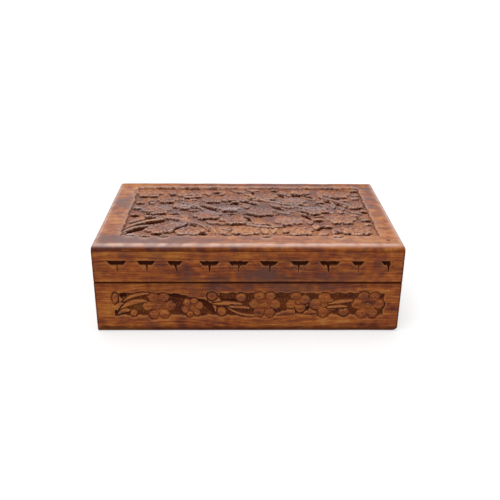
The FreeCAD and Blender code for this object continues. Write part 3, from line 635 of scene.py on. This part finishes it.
def boardPiece(name, side, plan, fineBand, rims, stations, relief, cut, faceSlack=0.01):
    # a closed profile carried along the side, drawn in at both ends to the mitres and the round corners,
    # with the relief pushed in from its outer face
    far, height, foot = plan
    reach, half, along, inward = sides[side]
    places, kinds = np.array(stations).T
    profile = boardProfiles(height, foot, fineBand, rims)[kinds.astype(int)]
    depth = profile[..., 0]
    corner = board["cornerRound"]
    u = places[:, None] / half * (half - np.maximum(depth, corner * (1 - math.sqrt(0.5))))
    rise = wornRise(side, height, foot, half, u, profile[..., 1])
    level = far + rise if foot else far - rise
    turned = np.clip(np.abs(u) - (half - corner), 0, corner)
    rounded = np.maximum(depth, corner - np.sqrt(corner ** 2 - turned ** 2))
    push = relief(u, level) * (depth < faceSlack)
    uneven = board["uneven"] * planed(u, level, size=38, seed=5 + len(name))
    uneven = uneven * ramp(board["skin"] - depth, 0, board["skin"]) * (np.abs(u) < half - board["evenEnds"])
    inset = rounded + push + uneven
    flatPlace = [along[axis] * u + inward[axis] * (inset - reach) for axis in (0, 1)]
    points = np.stack([*flatPlace, level], axis=-1).reshape(-1, 3)
    rows, columns = u.shape
    faces = gridFaces(rows, columns, True)
    ring = np.arange(columns)
    caps = [ring[::-1], ring + (rows - 1) * columns]
    if foot:
        faces = faces[:, ::-1]
        caps = [cap[::-1] for cap in caps]
    marks = boardMarks(side, height, foot, u, level, rise, push, depth < board["skin"], cut)
    return addPiece(name, points, faces, caps, marks)


def evenStations(half, spacing):      # places along a side, all with the first profile
    return [(place, 0) for place in np.linspace(-half, half, round(2 * half / spacing))]


def hingeStations(half, count=160, hingeCount=12, margin=0.4, inset=1.0, step=0.01, leafMiddle=3.0):
    # plain rim, with the mortised profile between the ends of each hinge
    middle = (hingeHigh[0] + hingeLow[0]) / 2
    reach = (hingeHigh[0] - hingeLow[0]) / 2 + board["leafClearance"]
    scale = half / (half - board["bevelDepth"] - leafMiddle)      # undoes the mitre at the leaf
    stations = [(place, 0) for place in np.linspace(-half, half, count)
                if abs(abs(place) / scale - middle) > reach + margin]
    for centre in (-middle, middle):
        for end in (-1, 1):
            stations += [(scale * (centre + end * (reach + step)), 0), (scale * (centre + end * reach), 1)]
        within = np.linspace(inset - reach, reach - inset, hingeCount)
        stations += [(scale * (centre + place), 1) for place in within]
    return sorted(stations)


def pinSpots(node):      # middles of the corner pins' heads on a side, across and up
    low, high = nodeBox(node)
    radius = pinHeads["radius"]
    across = high[1] - radius
    return [(y, z) for y in (-across, across) for z in (low[2] + radius, high[2] - radius)]


def plainRelief(u, level):      # nothing is cut
    return np.zeros(u.shape)


def frontRelief(u, level):      # the carved band of the front
    return carved(u, level, bandField(halfLength), frontMotifs(), frontCarving, seed=21)


def sideRelief(seed):      # the carved band of a side, and its nail holes
    def relief(u, level):
        field = bandField(halfDepth)
        motifs = placed(sideCarving, field, frontCarving, seed)
        depth = carved(u, level, field, motifs, frontCarving, seed)
        return dimpled(depth, u, level, pinSpots("base_corner_pins"))
    return relief


def frontGouges(u, level):      # the row as it was cut by hand
    return gouged(u, level, gouges["front"])


def sideGouges(u, level):      # an evenly spaced row, and nail holes
    first, pitch = gouges["sideFirst"], gouges["sidePitch"]
    count = int((2 * halfDepth - first - gouges["sideLast"]) / pitch) + 1
    row = [(first - halfDepth + number * pitch, gouges["sideWidth"], 0.0, 0.0, gouges["sideStem"])
           for number in range(count)]
    return dimpled(gouged(u, level, row), u, level, pinSpots("lid_corner_pins"))


# the edge a board is measured from, its height, and whether it stands on that edge
baseBoard = (0.0, rimHeight, True)
lidBoard = (panelBottom, panelBottom - lidRim, False)
margin = frontCarving["rowMargin"]
bandRows = (frontCarving["bottom"] - margin, frontCarving["top"] + margin)
gougeTop = panelBottom - gouges["top"]
gougeRows = (gougeTop - gouges["rowsAbove"], gougeTop + gouges["rowsBelow"])
pieces = {}
for side in ("front", "right", "left"):
    stations = evenStations(sides[side][1], board["fine"])
    relief = frontRelief if side == "front" else sideRelief(seed=30 + len(side))
    gougeRow = frontGouges if side == "front" else sideGouges
    pieces[f"base_{side}_wall"] = boardPiece(f"carved_{side}_wall", side, baseBoard, bandRows,
                                             [roundRim(baseBoard[1])], stations, relief, frontCarving)
    pieces[f"lid_{side}_rail"] = boardPiece(f"gouged_{side}_rail", side, lidBoard, gougeRows,
                                            [roundRim(lidBoard[1])], stations, gougeRow, gouges)
for name, node, plan in (("plain_back_wall", "base_back_wall", baseBoard),
                         ("plain_back_rail", "lid_back_rail", lidBoard)):
    rims = [bevelRim(plan[1], mortised) for mortised in (False, True)]
    pieces[node] = boardPiece(name, "back", plan, board["plainBand"], rims, hingeStations(halfLength),
                              plainRelief, gouges)
print("boards:", len(pieces))


# Slab of the lid

slab = {
    "edgeRound": 4.05, "cornerRound": 2.0, "underRound": 0.3, "fine": 0.475, "coarse": 1.7,
    "leastLeft": 0.7, "uneven": 0.06, "unevenFrom": 3.0,
    "openPin": (1, -1),      # the pin whose hole is open: right and front
    "rearStain": 0.3, "leftStain": 0.2, "rightStain": 0.5,      # weaker painted shade on walls that don't face the front
    # the round edge's lower part: duller, and darkened with painted shade that fades toward the right
    "lowEdge": (3.4, 1.6), "edgeGrime": 0.5, "edgeWarm": 0.7, "edgeWarmFrom": (-20, 40),
    # darker in the rear of the field, and dullness toward the edges
    "fieldGrime": 0.08, "grimeDepth": (0.02, 0.2), "grimeFrom": (-25, 0),
    "rearMatt": 0.6, "rearFrom": (44, 58), "leftMatt": 0.12, "rightMatt": 0.3, "sideFrom": (82, 90),
    # painted highlight: a pale band along the round edge, about one tilt in degrees
    "polishAngle": 25.5, "polishSpread": 20.0, "polishLevel": 0.9, "polishRight": 0.36,
    "polishFrom": (0, 60), "polishUneven": 0.3, "polishRange": (0.2, 1.3),
    "glintLevel": 0.7, "glintUneven": 0.5, "glintRange": (0, 1.2),
    "patchEdge": 0.24, "patchSizes": (13, 5),
    "patches": [      # middle, reach along and across, and how warm (up) or greyed (down), partly with age and partly as a painted reflection
        (-90, 54, 34, 12, 1), (-95, 17, 9, 13, -0.7), (-94, -20, 9, 17, 1.25), (-82, -54, 46, 9, -1),
        (-12, 8, 62, 19, -1), (-48, -28, 26, 12, -0.7), (20, -37, 58, 8, 1.25), (70, -54, 40, 8, 0.5),
        (95, -36, 9, 24, 0.5), (95, 32, 9, 28, -0.35), (28, 58, 36, 7, -0.8), (-36, 59, 22, 5, -0.5),
        (54, 16, 26, 13, -0.5),
    ],
    "glints": [      # painted glints on the carving: middle, reach along and across, and strength
        (-80.5, 8.5, 4.5, 3, 1), (-63, 11, 8, 4, 0.6), (-45, 11, 7, 4, 0.9), (-25, 2, 9, 6, 0.6),
        (-13.5, 7, 4.5, 3, 0.9), (-8, 6, 4.5, 3, 0.9), (34.5, 26, 8, 5, 0.5), (51.5, 7.5, 9, 5, 0.6),
        (30, -17, 8, 4, 0.5), (-48, -22, 6, 4, 0.6), (-41, -44, 7, 3, 0.6), (-78, -43.5, 5, 3, 1.1),
    ],
}


def edgeSteps(half, low, high, edgePoints=9, margin=1.0):
    # stations across the slab, close on the round edge and in the field
    turn = np.radians(np.linspace(90, 0, edgePoints))[:-1]
    rim = slab["edgeRound"] * (1 - np.sin(turn)) - half
    end = half - slab["edgeRound"]
    return np.concatenate([rim, steps([-end, low - margin, high + margin, end], slab), -rim[::-1]])


def slabMarks(x, y, z, depth, inset):
    # marks of the carving, with painted shade darkest on walls that face the front; painted shade on the
    # round edge's lower part, a darker rear of the field and dullness toward the edges; warm and greyed
    # patches, painted glints on the carving, and a painted highlight as a pale band about one tilt of the
    # round edge
    # painted shade on the carving's walls, full on those that face the front
    backward = np.gradient(depth, axis=0) / np.gradient(y, axis=0)
    sideways = np.gradient(depth, axis=1) / np.gradient(x, axis=1)
    slope = np.hypot(np.where(backward < 0, 1, slab["rearStain"]) * backward,
                     np.where(sideways < 0, slab["rightStain"], slab["leftStain"]) * sideways)
    marks = recessMarks(depth, slope, lidCarving)
    lowEdge = ramp(z - panelBottom, *slab["lowEdge"])
    rearMatt = slab["rearMatt"] * ramp(y, *slab["rearFrom"])
    sideMatt = np.where(x < 0, slab["leftMatt"], slab["rightMatt"]) * ramp(np.abs(x), *slab["sideFrom"])
    marks["matt"] = np.maximum.reduce([lowEdge, rearMatt, sideMatt])
    # painted shade on the round edge's lower part
    edgeGrime = slab["edgeGrime"] * (1 - slab["edgeWarm"] * ramp(x, *slab["edgeWarmFrom"])) * lowEdge
    # darker in the carved field toward the rear
    fieldGrime = slab["fieldGrime"] * ramp(depth, *slab["grimeDepth"]) * ramp(y, *slab["grimeFrom"])
    marks["stain"] = np.maximum.reduce([marks["stain"], edgeGrime, fieldGrime])
    marks["warmth"] = warmth(x, y, slab, slab["patches"], seed=23)
    # painted glints on the carving
    glint = slab["glintLevel"] + slab["glintUneven"] * ripple(x, y, size=4.5, seed=51)
    marks["sheen"] = softSpots(x, y, slab["glints"]) * np.clip(glint, *slab["glintRange"])
    # painted highlight on the round edge, uneven and brighter toward the right; worn is its strength
    tilt = np.degrees(np.arcsin(np.clip(1 - inset / slab["edgeRound"], 0, 1)))
    worn = slab["polishLevel"] + slab["polishRight"] * ramp(x, *slab["polishFrom"])
    worn = worn + slab["polishUneven"] * ripple(x, y, size=9, seed=41)
    shine = bell(tilt - slab["polishAngle"], slab["polishSpread"]) * np.clip(worn, *slab["polishRange"])
    marks["polish"] = shine * (inset < slab["edgeRound"])
    return marks


def lidSlab():
    # height field over the slab: its square outline is drawn in to round corners, the edge falls in a
    # quarter circle, and the carving and a nail hole are cut down from the top
    x, y = np.meshgrid(edgeSteps(halfLength, *lidField[:2]), edgeSteps(halfDepth, *lidField[2:]))
    corner, edge = slab["cornerRound"], slab["edgeRound"]
    shareX = np.clip((np.abs(x) - halfLength) / corner + 1, 0, 1)
    shareY = np.clip((np.abs(y) - halfDepth) / corner + 1, 0, 1)
    pulledX = np.sign(x) * (halfLength - corner + corner * shareX * np.sqrt(1 - shareY ** 2 / 2))
    pulledY = np.sign(y) * (halfDepth - corner + corner * shareY * np.sqrt(1 - shareX ** 2 / 2))
    inCorner = (shareX > 0) & (shareY > 0)
    x, y = np.where(inCorner, pulledX, x), np.where(inCorner, pulledY, y)
    outX, outY = np.abs(x) - (halfLength - corner), np.abs(y) - (halfDepth - corner)
    beyond = np.hypot(np.maximum(outX, 0), np.maximum(outY, 0))
    inset = corner - beyond - np.minimum(np.maximum(outX, outY), 0)
    fall = edge - np.sqrt(np.clip(edge ** 2 - np.clip(edge - inset, 0, edge) ** 2, 0, None))
    motifs = placed(lidCarving, lidField, lidCarving, seed=40)
    sharp = carved(x, y, lidField, motifs, lidCarving, seed=11)
    depth = np.minimum((sharp + softened(sharp, 1)) / 2, boxTop - panelBottom - slab["leastLeft"])
    pinReach = nodeBox("lid_top_pins")[1][:2] - pinHeads["radius"]
    depth = dimpled(depth, x, y, [pinReach * slab["openPin"]])
    uneven = slab["uneven"] * planed(x, y, size=30, seed=17)
    z = boxTop - fall - depth - uneven * ramp(inset, 0, slab["unevenFrom"])

    rows, columns = x.shape
    index = np.arange(rows * columns).reshape(rows, columns)
    loop = np.concatenate([index[0, :-1], index[:-1, -1], index[-1, :0:-1], index[:0:-1, 0]])
    top = np.stack([x, y, z], axis=-1).reshape(-1, 3)
    sideLoop, footLoop = top[loop], top[loop]
    sideLoop[:, 2] = panelBottom + slab["underRound"]
    footLoop[:, 2] = panelBottom
    atEdge = np.abs(footLoop[:, :2]) > np.array([halfLength, halfDepth]) - corner
    footLoop[:, :2] -= slab["underRound"] * np.sign(footLoop[:, :2]) * atEdge
    first = len(top) + np.arange(len(loop))
    second = first + len(loop)
    skirts = [np.stack([a, b, np.roll(b, -1), np.roll(a, -1)], axis=1)
              for a, b in ((loop, first), (first, second))]
    faces = np.concatenate([gridFaces(rows, columns, False)] + skirts)
    nothing = np.zeros(len(loop))      # on the underside
    marks = {key: np.concatenate([values.ravel(), values.ravel()[loop], nothing])
             for key, values in slabMarks(x, y, z, depth, inset).items()}
    points = np.concatenate([top, sideLoop, footLoop])
    return addPiece("carved_lid_slab", points, faces, [second[::-1]], marks)


pieces["lid_top_panel"] = lidSlab()
print("slab:", len(pieces["lid_top_panel"].data.polygons), "faces")


# Materials

class Wire:      # an output socket that takes part in arithmetic, and makes further nodes in its tree
    def __init__(self, tree, socket=None):
        self.tree = tree
        self.socket = socket

    def node(self, kind, settings=None, inputs=None, output=0):      # type, settings, sockets
        made = self.tree.nodes.new(kind)
        for key, value in (settings or {}).items():
            if key == "stops":
                while len(made.color_ramp.elements) < len(value):
                    made.color_ramp.elements.new(0.5)
                for element, (position, colour) in zip(made.color_ramp.elements, value):
                    element.position = position
                    element.color = (*colour, 1)
            else:
                setattr(made, key, value)
        for key, value in (inputs or {}).items():
            if isinstance(value, Wire):
                self.tree.links.new(value.socket, made.inputs[key])
            else:
                made.inputs[key].default_value = value
        return Wire(self.tree, made.outputs[output] if made.outputs else None)

    def outputs(self):      # all outputs of this wire's node, by name
        return {socket.name: Wire(self.tree, socket) for socket in self.socket.node.outputs}

    def maths(self, operation, a, b=0.0):
        return self.node("ShaderNodeMath", {"operation": operation}, {0: a, 1: b})

    def __add__(self, other):
        return self.maths("ADD", self, other)

    def __sub__(self, other):
        return self.maths("SUBTRACT", self, other)

    def __rsub__(self, other):
        return self.maths("SUBTRACT", other, self)

    def __mul__(self, other):
        return self.maths("MULTIPLY", self, other)

    def __pow__(self, other):
        return self.maths("POWER", self, other)

    def __rpow__(self, other):
        return self.maths("POWER", other, self)

    __radd__ = __add__
    __rmul__ = __mul__

    def between(self, low, high):      # 0 at low, 1 at high, held outside
        return self.node("ShaderNodeMapRange", {"clamp": True}, {0: self, 1: low, 2: high})

    def blend(self, first, second):      # colours mixed by this share
        return self.node("ShaderNodeMix", {"data_type": "RGBA"}, {0: self, 6: first, 7: second}, 2)

    def noise(self, detail, scale=1.0):      # cloudy noise at this place
        return self.node("ShaderNodeTexNoise", None, {"Vector": self, "Scale": scale, "Detail": detail})


def startMaterial(name):      # a new material, and a wire in its empty tree
    made = bpy.data.materials.new(name)
    made.use_nodes = True
    made.node_tree.nodes.clear()
    return made, Wire(made.node_tree)


def closeMaterial(wire, sockets):      # the surface and the output
    shader = wire.node("ShaderNodeBsdfPrincipled", None, sockets)
    wire.node("ShaderNodeOutputMaterial", None, {"Surface": shader})


wood = {
    "ramp": [(0.0, (0.08, 0.020, 0.013)), (0.25, (0.20, 0.046, 0.020)), (0.5, (0.33, 0.080, 0.021)),
             (0.75, (0.45, 0.131, 0.027)), (1.0, (0.56, 0.21, 0.050))],
    "goldenColour": (0.51, 0.20, 0.030, 1), "veinColour": (0.14, 0.04, 0.022, 1),
    # the pale colour is a painted highlight, and the sheen colour a painted sheen
    "poreColour": (0.07, 0.02, 0.01, 1), "paleColour": (0.62, 0.345, 0.25, 1),
    "sheenColour": (0.46, 0.34, 0.33, 1),
    "figures": {      # scales along and across the grain, detail, and shift
        "sway": (13, 34, 1.0, 0), "drift": (7, 26, 2.0, 0), "streak": (20, 900, 5.0, 3),
        "mottle": (120, 560, 5.0, 17), "patch": (14, 48, 3.0, 7), "pore": (240, 2600, 1.0, 11),
        "golden": (20, 240, 3.0, 29), "vein": (16, 330, 3.0, 37),
    },
    "goldenFrom": (0.56, 0.70), "veinFrom": (0.58, 0.70), "poreFrom": (0.6, 0.72),
    "cloudScale": 190.0, "cloudDetail": 5.0, "sway": 0.011, "drift": 0.030, "ringSpacing": 0.0042,
    "ringMiddle": 0.4, "heartAcross": -0.035, "heartUp": -0.045, "warmTone": 0.28, "agedShare": 0.95,
    "streakRough": 0.4, "stainRough": 0.3, "figureHeight": 0.5, "bumpDepth": 0.0003, "coatIor": 2.0,
}


def woodMaterial(name, grain, look):
    # heartwood: growth rings about a line along the grain, bent by slow noise, with short streaks, golden
    # and dark veins, mottling and pores; carved recesses are stained dark with painted shade and are free
    # of polish, standing edges are rubbed light with a painted highlight, the round edge has a painted
    # highlight and the carving painted glints, and patches are warmer or greyed
    made, wire = startMaterial(name)
    place = wire.node("ShaderNodeTexCoord", output="Object")
    x, y, z = wire.node("ShaderNodeSeparateXYZ", None, {0: place}).outputs().values()
    along, across = (x, y) if grain == "x" else (y, x)

    def figure(kind, aside, up):      # noise drawn out along the grain
        alongScale, acrossScale, detail, shift = wood["figures"][kind]
        return wire.node("ShaderNodeCombineXYZ", None, {
            0: along * alongScale + (look["shift"] + shift), 1: aside * acrossScale, 2: up * acrossScale,
        }).noise(detail)

    def mark(key):      # a value kept at the points of the mesh
        return wire.node("ShaderNodeAttribute", {"attribute_name": key}, output="Fac")

    sway = (figure("sway", across, z) - 0.5) * wood["sway"]
    swaying = (across + sway, z + sway)
    drift, streak, mottle, patch = (figure(kind, *swaying)
                                    for kind in ("drift", "streak", "mottle", "patch"))
    fromHeart = ((across - wood["heartAcross"]) ** 2 + (z - wood["heartUp"]) ** 2) ** 0.5
    radius = fromHeart + drift * wood["drift"]
    rings = wire.maths("SINE", radius * (2 * math.pi / wood["ringSpacing"])) * 0.5 + 0.5
    cloud = place.noise(wood["cloudDetail"], wood["cloudScale"])
    warm, stain = mark("warmth"), mark("stain")
    tone = look["tone"] + (rings ** 2 - wood["ringMiddle"]) * look["ringShare"] + warm * wood["warmTone"]
    for kind, layer in (("streak", streak), ("mottle", mottle), ("patch", patch), ("cloud", cloud)):
        tone = tone + (layer - 0.5) * look[f"{kind}Share"]
    colour = wire.node("ShaderNodeValToRGB", {"stops": wood["ramp"]}, {0: tone})
    flecks = {kind: figure(kind, *swaying).between(*wood[f"{kind}From"])
              for kind in ("golden", "vein", "pore")}
    for kind, fleck in flecks.items():
        colour = (fleck * look[f"{kind}Share"]).blend(colour, wood[f"{kind}Colour"])
    colour = (warm * -wood["agedShare"]).between(0, 1).blend(colour, look["agedColour"])
    # painted highlight on the round edge, edges rubbed lighter with a painted highlight, and painted glints
    colour = (mark("polish") * look["paleShare"]).blend(colour, wood["paleColour"])
    colour = (mark("rubbed") * look["rubbedShare"]).blend(colour, look["rubbedColour"])
    colour = mark("sheen").between(0, 1).blend(colour, wood["sheenColour"])
    # recesses go dark: stain, with painted shade on the walls and in the crevices
    stainShadeMix = wire.maths("MAXIMUM", stain * look["stainShare"], mark("crevice") * look["creviceShare"])
    dull = wire.maths("MAXIMUM", stainShadeMix, mark("matt"))
    rough = look["rough"] + (streak - 0.5) * wood["streakRough"] + stain * wood["stainRough"]
    height = (streak + mottle - flecks["pore"]) * wood["figureHeight"]
    closeMaterial(wire, {
        "Base Color": stainShadeMix.blend(colour, look["groundColour"]), "Roughness": rough.between(0, 1),
        "Normal": wire.node("ShaderNodeBump", None, {
            "Strength": look["bump"], "Distance": wood["bumpDepth"], "Height": height}),
        "Specular IOR Level": look["specular"], "Coat Weight": (1 - dull) * look["coat"],
        "Coat Roughness": look["coatRough"], "Coat IOR": wood["coatIor"]})
    return made


wallLook = {
    "shift": 0.0, "tone": 0.47, "ringShare": 0.08, "streakShare": 1.7, "mottleShare": 0.7,
    "patchShare": 0.9, "cloudShare": 0.9, "goldenShare": 0.4, "veinShare": 0.35, "poreShare": 0.5,
    # shares of rubbed edges with a painted highlight, of stain with painted shade, of painted crevice shade
    # and of the painted highlight
    "rubbedShare": 0.65, "stainShare": 0.86, "creviceShare": 0.7, "paleShare": 0.55,
    "agedColour": (0.15, 0.060, 0.045, 1),
    # rubbed edges lighter with a painted highlight; recesses darkened by stain and painted shade
    "rubbedColour": (0.54, 0.23, 0.085, 1), "groundColour": (0.050, 0.0075, 0.0025, 1),
    "rough": 0.5, "bump": 0.4, "specular": 0.1, "coat": 0.0, "coatRough": 0.3,
}
railLook = {**wallLook, "shift": 5.2, "tone": 0.49, "stainShare": 0.95, "rubbedShare": 0.55,
            # darker stain and painted shade in the rail's gouges
            "groundColour": (0.042, 0.0058, 0.0018, 1)}
sideLook = {**wallLook, "shift": 9.7}
slabLook = {
    **wallLook, "shift": 14.1, "tone": 0.57, "streakShare": 1.3, "mottleShare": 0.6, "cloudShare": 1.5,
    "veinShare": 0.4, "rubbedShare": 0.7, "stainShare": 1.0, "paleShare": 0.84,
    # greyed colour partly age and partly a painted reflection of the glossy top; rubbed edges with a
    # painted highlight; recesses darkened by stain and painted shade
    "agedColour": (0.182, 0.078, 0.065, 1), "rubbedColour": (0.62, 0.37, 0.26, 1),
    "groundColour": (0.060, 0.0115, 0.0038, 1), "rough": 0.45, "specular": 0.0, "coat": 0.6,
}
floorLook = {**wallLook, "shift": 21.3, "tone": 0.58}

metal = {
    "cloudScale": 420.0, "cloudDetail": 4.0, "fineScale": 2600.0, "fineDetail": 2.0,
    "tarnishFrom": (0.38, 0.66), "tarnishRough": 0.25, "bump": 0.25, "bumpDepth": 0.0001,
    "brassBright": (0.72, 0.47, 0.17, 1), "brassDull": (0.30, 0.18, 0.07, 1), "brassRough": 0.28,
    "steelBright": (0.20, 0.18, 0.16, 1), "steelDull": (0.05, 0.035, 0.03, 1), "steelRough": 0.42,
}


def metalMaterial(name, kind):
    # worn metal: two colours mixed by cloudy tarnish, which is also rougher
    made, wire = startMaterial(name)
    place = wire.node("ShaderNodeTexCoord", output="Object")
    tarnish = place.noise(metal["cloudDetail"], metal["cloudScale"]).between(*metal["tarnishFrom"])
    closeMaterial(wire, {
        "Base Color": tarnish.blend(metal[f"{kind}Bright"], metal[f"{kind}Dull"]), "Metallic": 1.0,
        "Roughness": metal[f"{kind}Rough"] + tarnish * metal["tarnishRough"],
        "Normal": wire.node("ShaderNodeBump", None, {
            "Strength": metal["bump"], "Distance": metal["bumpDepth"],
            "Height": place.noise(metal["fineDetail"], metal["fineScale"])})})
    return made


finishes = {
    "frontWood": woodMaterial("oiled_front_wood", "x", wallLook),
    "railWood": woodMaterial("oiled_rail_wood", "x", railLook),
    "sideWood": woodMaterial("oiled_side_wood", "y", sideLook),
    "slabWood": woodMaterial("polished_slab_wood", "x", slabLook),
    "floorWood": woodMaterial("plain_floor_wood", "x", floorLook),
    "brass": metalMaterial("tarnished_brass", "brass"),
    "steel": metalMaterial("dark_pin_steel", "steel"),
}

nodeFinish = {"lid_top_panel": "slabWood", "lid_front_rail": "railWood", "lid_back_rail": "railWood"}
sideFinish = {"front": "frontWood", "back": "frontWood", "left": "sideWood", "right": "sideWood"}
for node, piece in pieces.items():
    body, side = node.split("_")[:2]
    finish = nodeFinish[node] if node in nodeFinish else sideFinish[side]
    piece.data.materials.append(finishes[finish])
    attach(piece, body)
    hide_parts(node)

slotFinish = {"hinge_brass": "brass", "pin_steel": "steel", "floor_wood": "floorWood"}
for subpart in frame["record"]["subparts"]:
    if subpart["material_slot"] in slotFinish:
        node = frame["nodes"][subpart["node"]]
        node.data.materials.clear()
        node.data.materials.append(finishes[slotFinish[subpart["material_slot"]]])
print("finishes:", len(finishes))


# Stage: a pale floor, an even sky, a wide soft lamp overhead and another from the front

stage = {
    "floorColour": (0.6, 0.6, 0.6, 1), "floorGlow": 0.5, "floorHalf": 6.0,
    "skyColour": (1, 1, 1, 1), "sky": 0.44,
    "lamps": {      # way that the light goes, spread in degrees, and strength
        "wide_top_lamp": ((0.05, -0.25, -1.0), 45.0, 0.95),
        "front_fill_lamp": ((0.28, 0.45, -1.0), 40.0, 1.0),
    },
}


def seen(wire):      # 1 for rays from the camera, off gloss or through glass, else 0
    rays = wire.node("ShaderNodeLightPath").outputs()
    either = wire.maths("MAXIMUM", rays["Is Camera Ray"], rays["Is Glossy Ray"])
    return wire.maths("MAXIMUM", either, rays["Is Transmission Ray"])


floorMesh = bpy.data.meshes.new("pale_floor")
edge = stage["floorHalf"]
floorCorners = [(-edge, -edge, 0), (edge, -edge, 0), (edge, edge, 0), (-edge, edge, 0)]
floorMesh.from_pydata(floorCorners, [], [(0, 1, 2, 3)])
floor = added("pale_floor", floorMesh)
floorFinish, wire = startMaterial("pale_floor")
matt = wire.node("ShaderNodeBsdfDiffuse", None, {"Color": stage["floorColour"]})
glow = wire.node("ShaderNodeEmission", None, {"Strength": seen(wire) * stage["floorGlow"]})
both = wire.node("ShaderNodeAddShader", None, {0: matt, 1: glow})
wire.node("ShaderNodeOutputMaterial", None, {"Surface": both})
floorMesh.materials.append(floorFinish)

world = bpy.data.worlds.new("even_sky")
world.use_nodes = True
world.node_tree.nodes.clear()
wire = Wire(world.node_tree)
strength = stage["sky"] + seen(wire) * (1 - stage["sky"])
sky = wire.node("ShaderNodeBackground", None, {"Color": stage["skyColour"], "Strength": strength})
wire.node("ShaderNodeOutputWorld", None, {"Surface": sky})
bpy.context.scene.world = world

for name, (way, spread, strength) in stage["lamps"].items():
    lampData = bpy.data.lights.new(name, "SUN")
    lampData.energy = strength
    lampData.angle = math.radians(spread)
    lamp = added(name, lampData)
    lamp.rotation_euler = Vector(way).to_track_quat("-Z", "Y").to_euler()

# Camera: fitted to the box's edges in the photograph, an image of 500 by 500
view = {"place": (-7.3, -462.3, 238.6), "yaw": 1.16, "pitch": 24.1, "roll": 0.57, "focal": 681.0,
        "image": 500, "sensor": 36, "nearest": 0.01}
yaw, pitch, roll = (math.radians(view[key]) for key in ("yaw", "pitch", "roll"))
ahead = Vector((math.sin(yaw) * math.cos(pitch), math.cos(yaw) * math.cos(pitch), -math.sin(pitch)))
aside = Vector((math.cos(yaw), -math.sin(yaw), 0))
upward = aside.cross(ahead)
rolledRight = aside * math.cos(roll) + upward * math.sin(roll)
rolledUp = upward * math.cos(roll) - aside * math.sin(roll)
cameraData = bpy.data.cameras.new("camera")
cameraData.sensor_width = view["sensor"]
cameraData.lens = view["sensor"] * view["focal"] / view["image"]
cameraData.clip_start = view["nearest"]
camera = added("camera", cameraData)
axes = Matrix((rolledRight, rolledUp, -ahead)).transposed().to_4x4()
camera.matrix_world = Matrix.Translation(Vector(view["place"]) * mm) @ axes
bpy.context.scene.camera = camera

bpy.context.scene.view_settings.view_transform = "Standard"
print("stage ready")
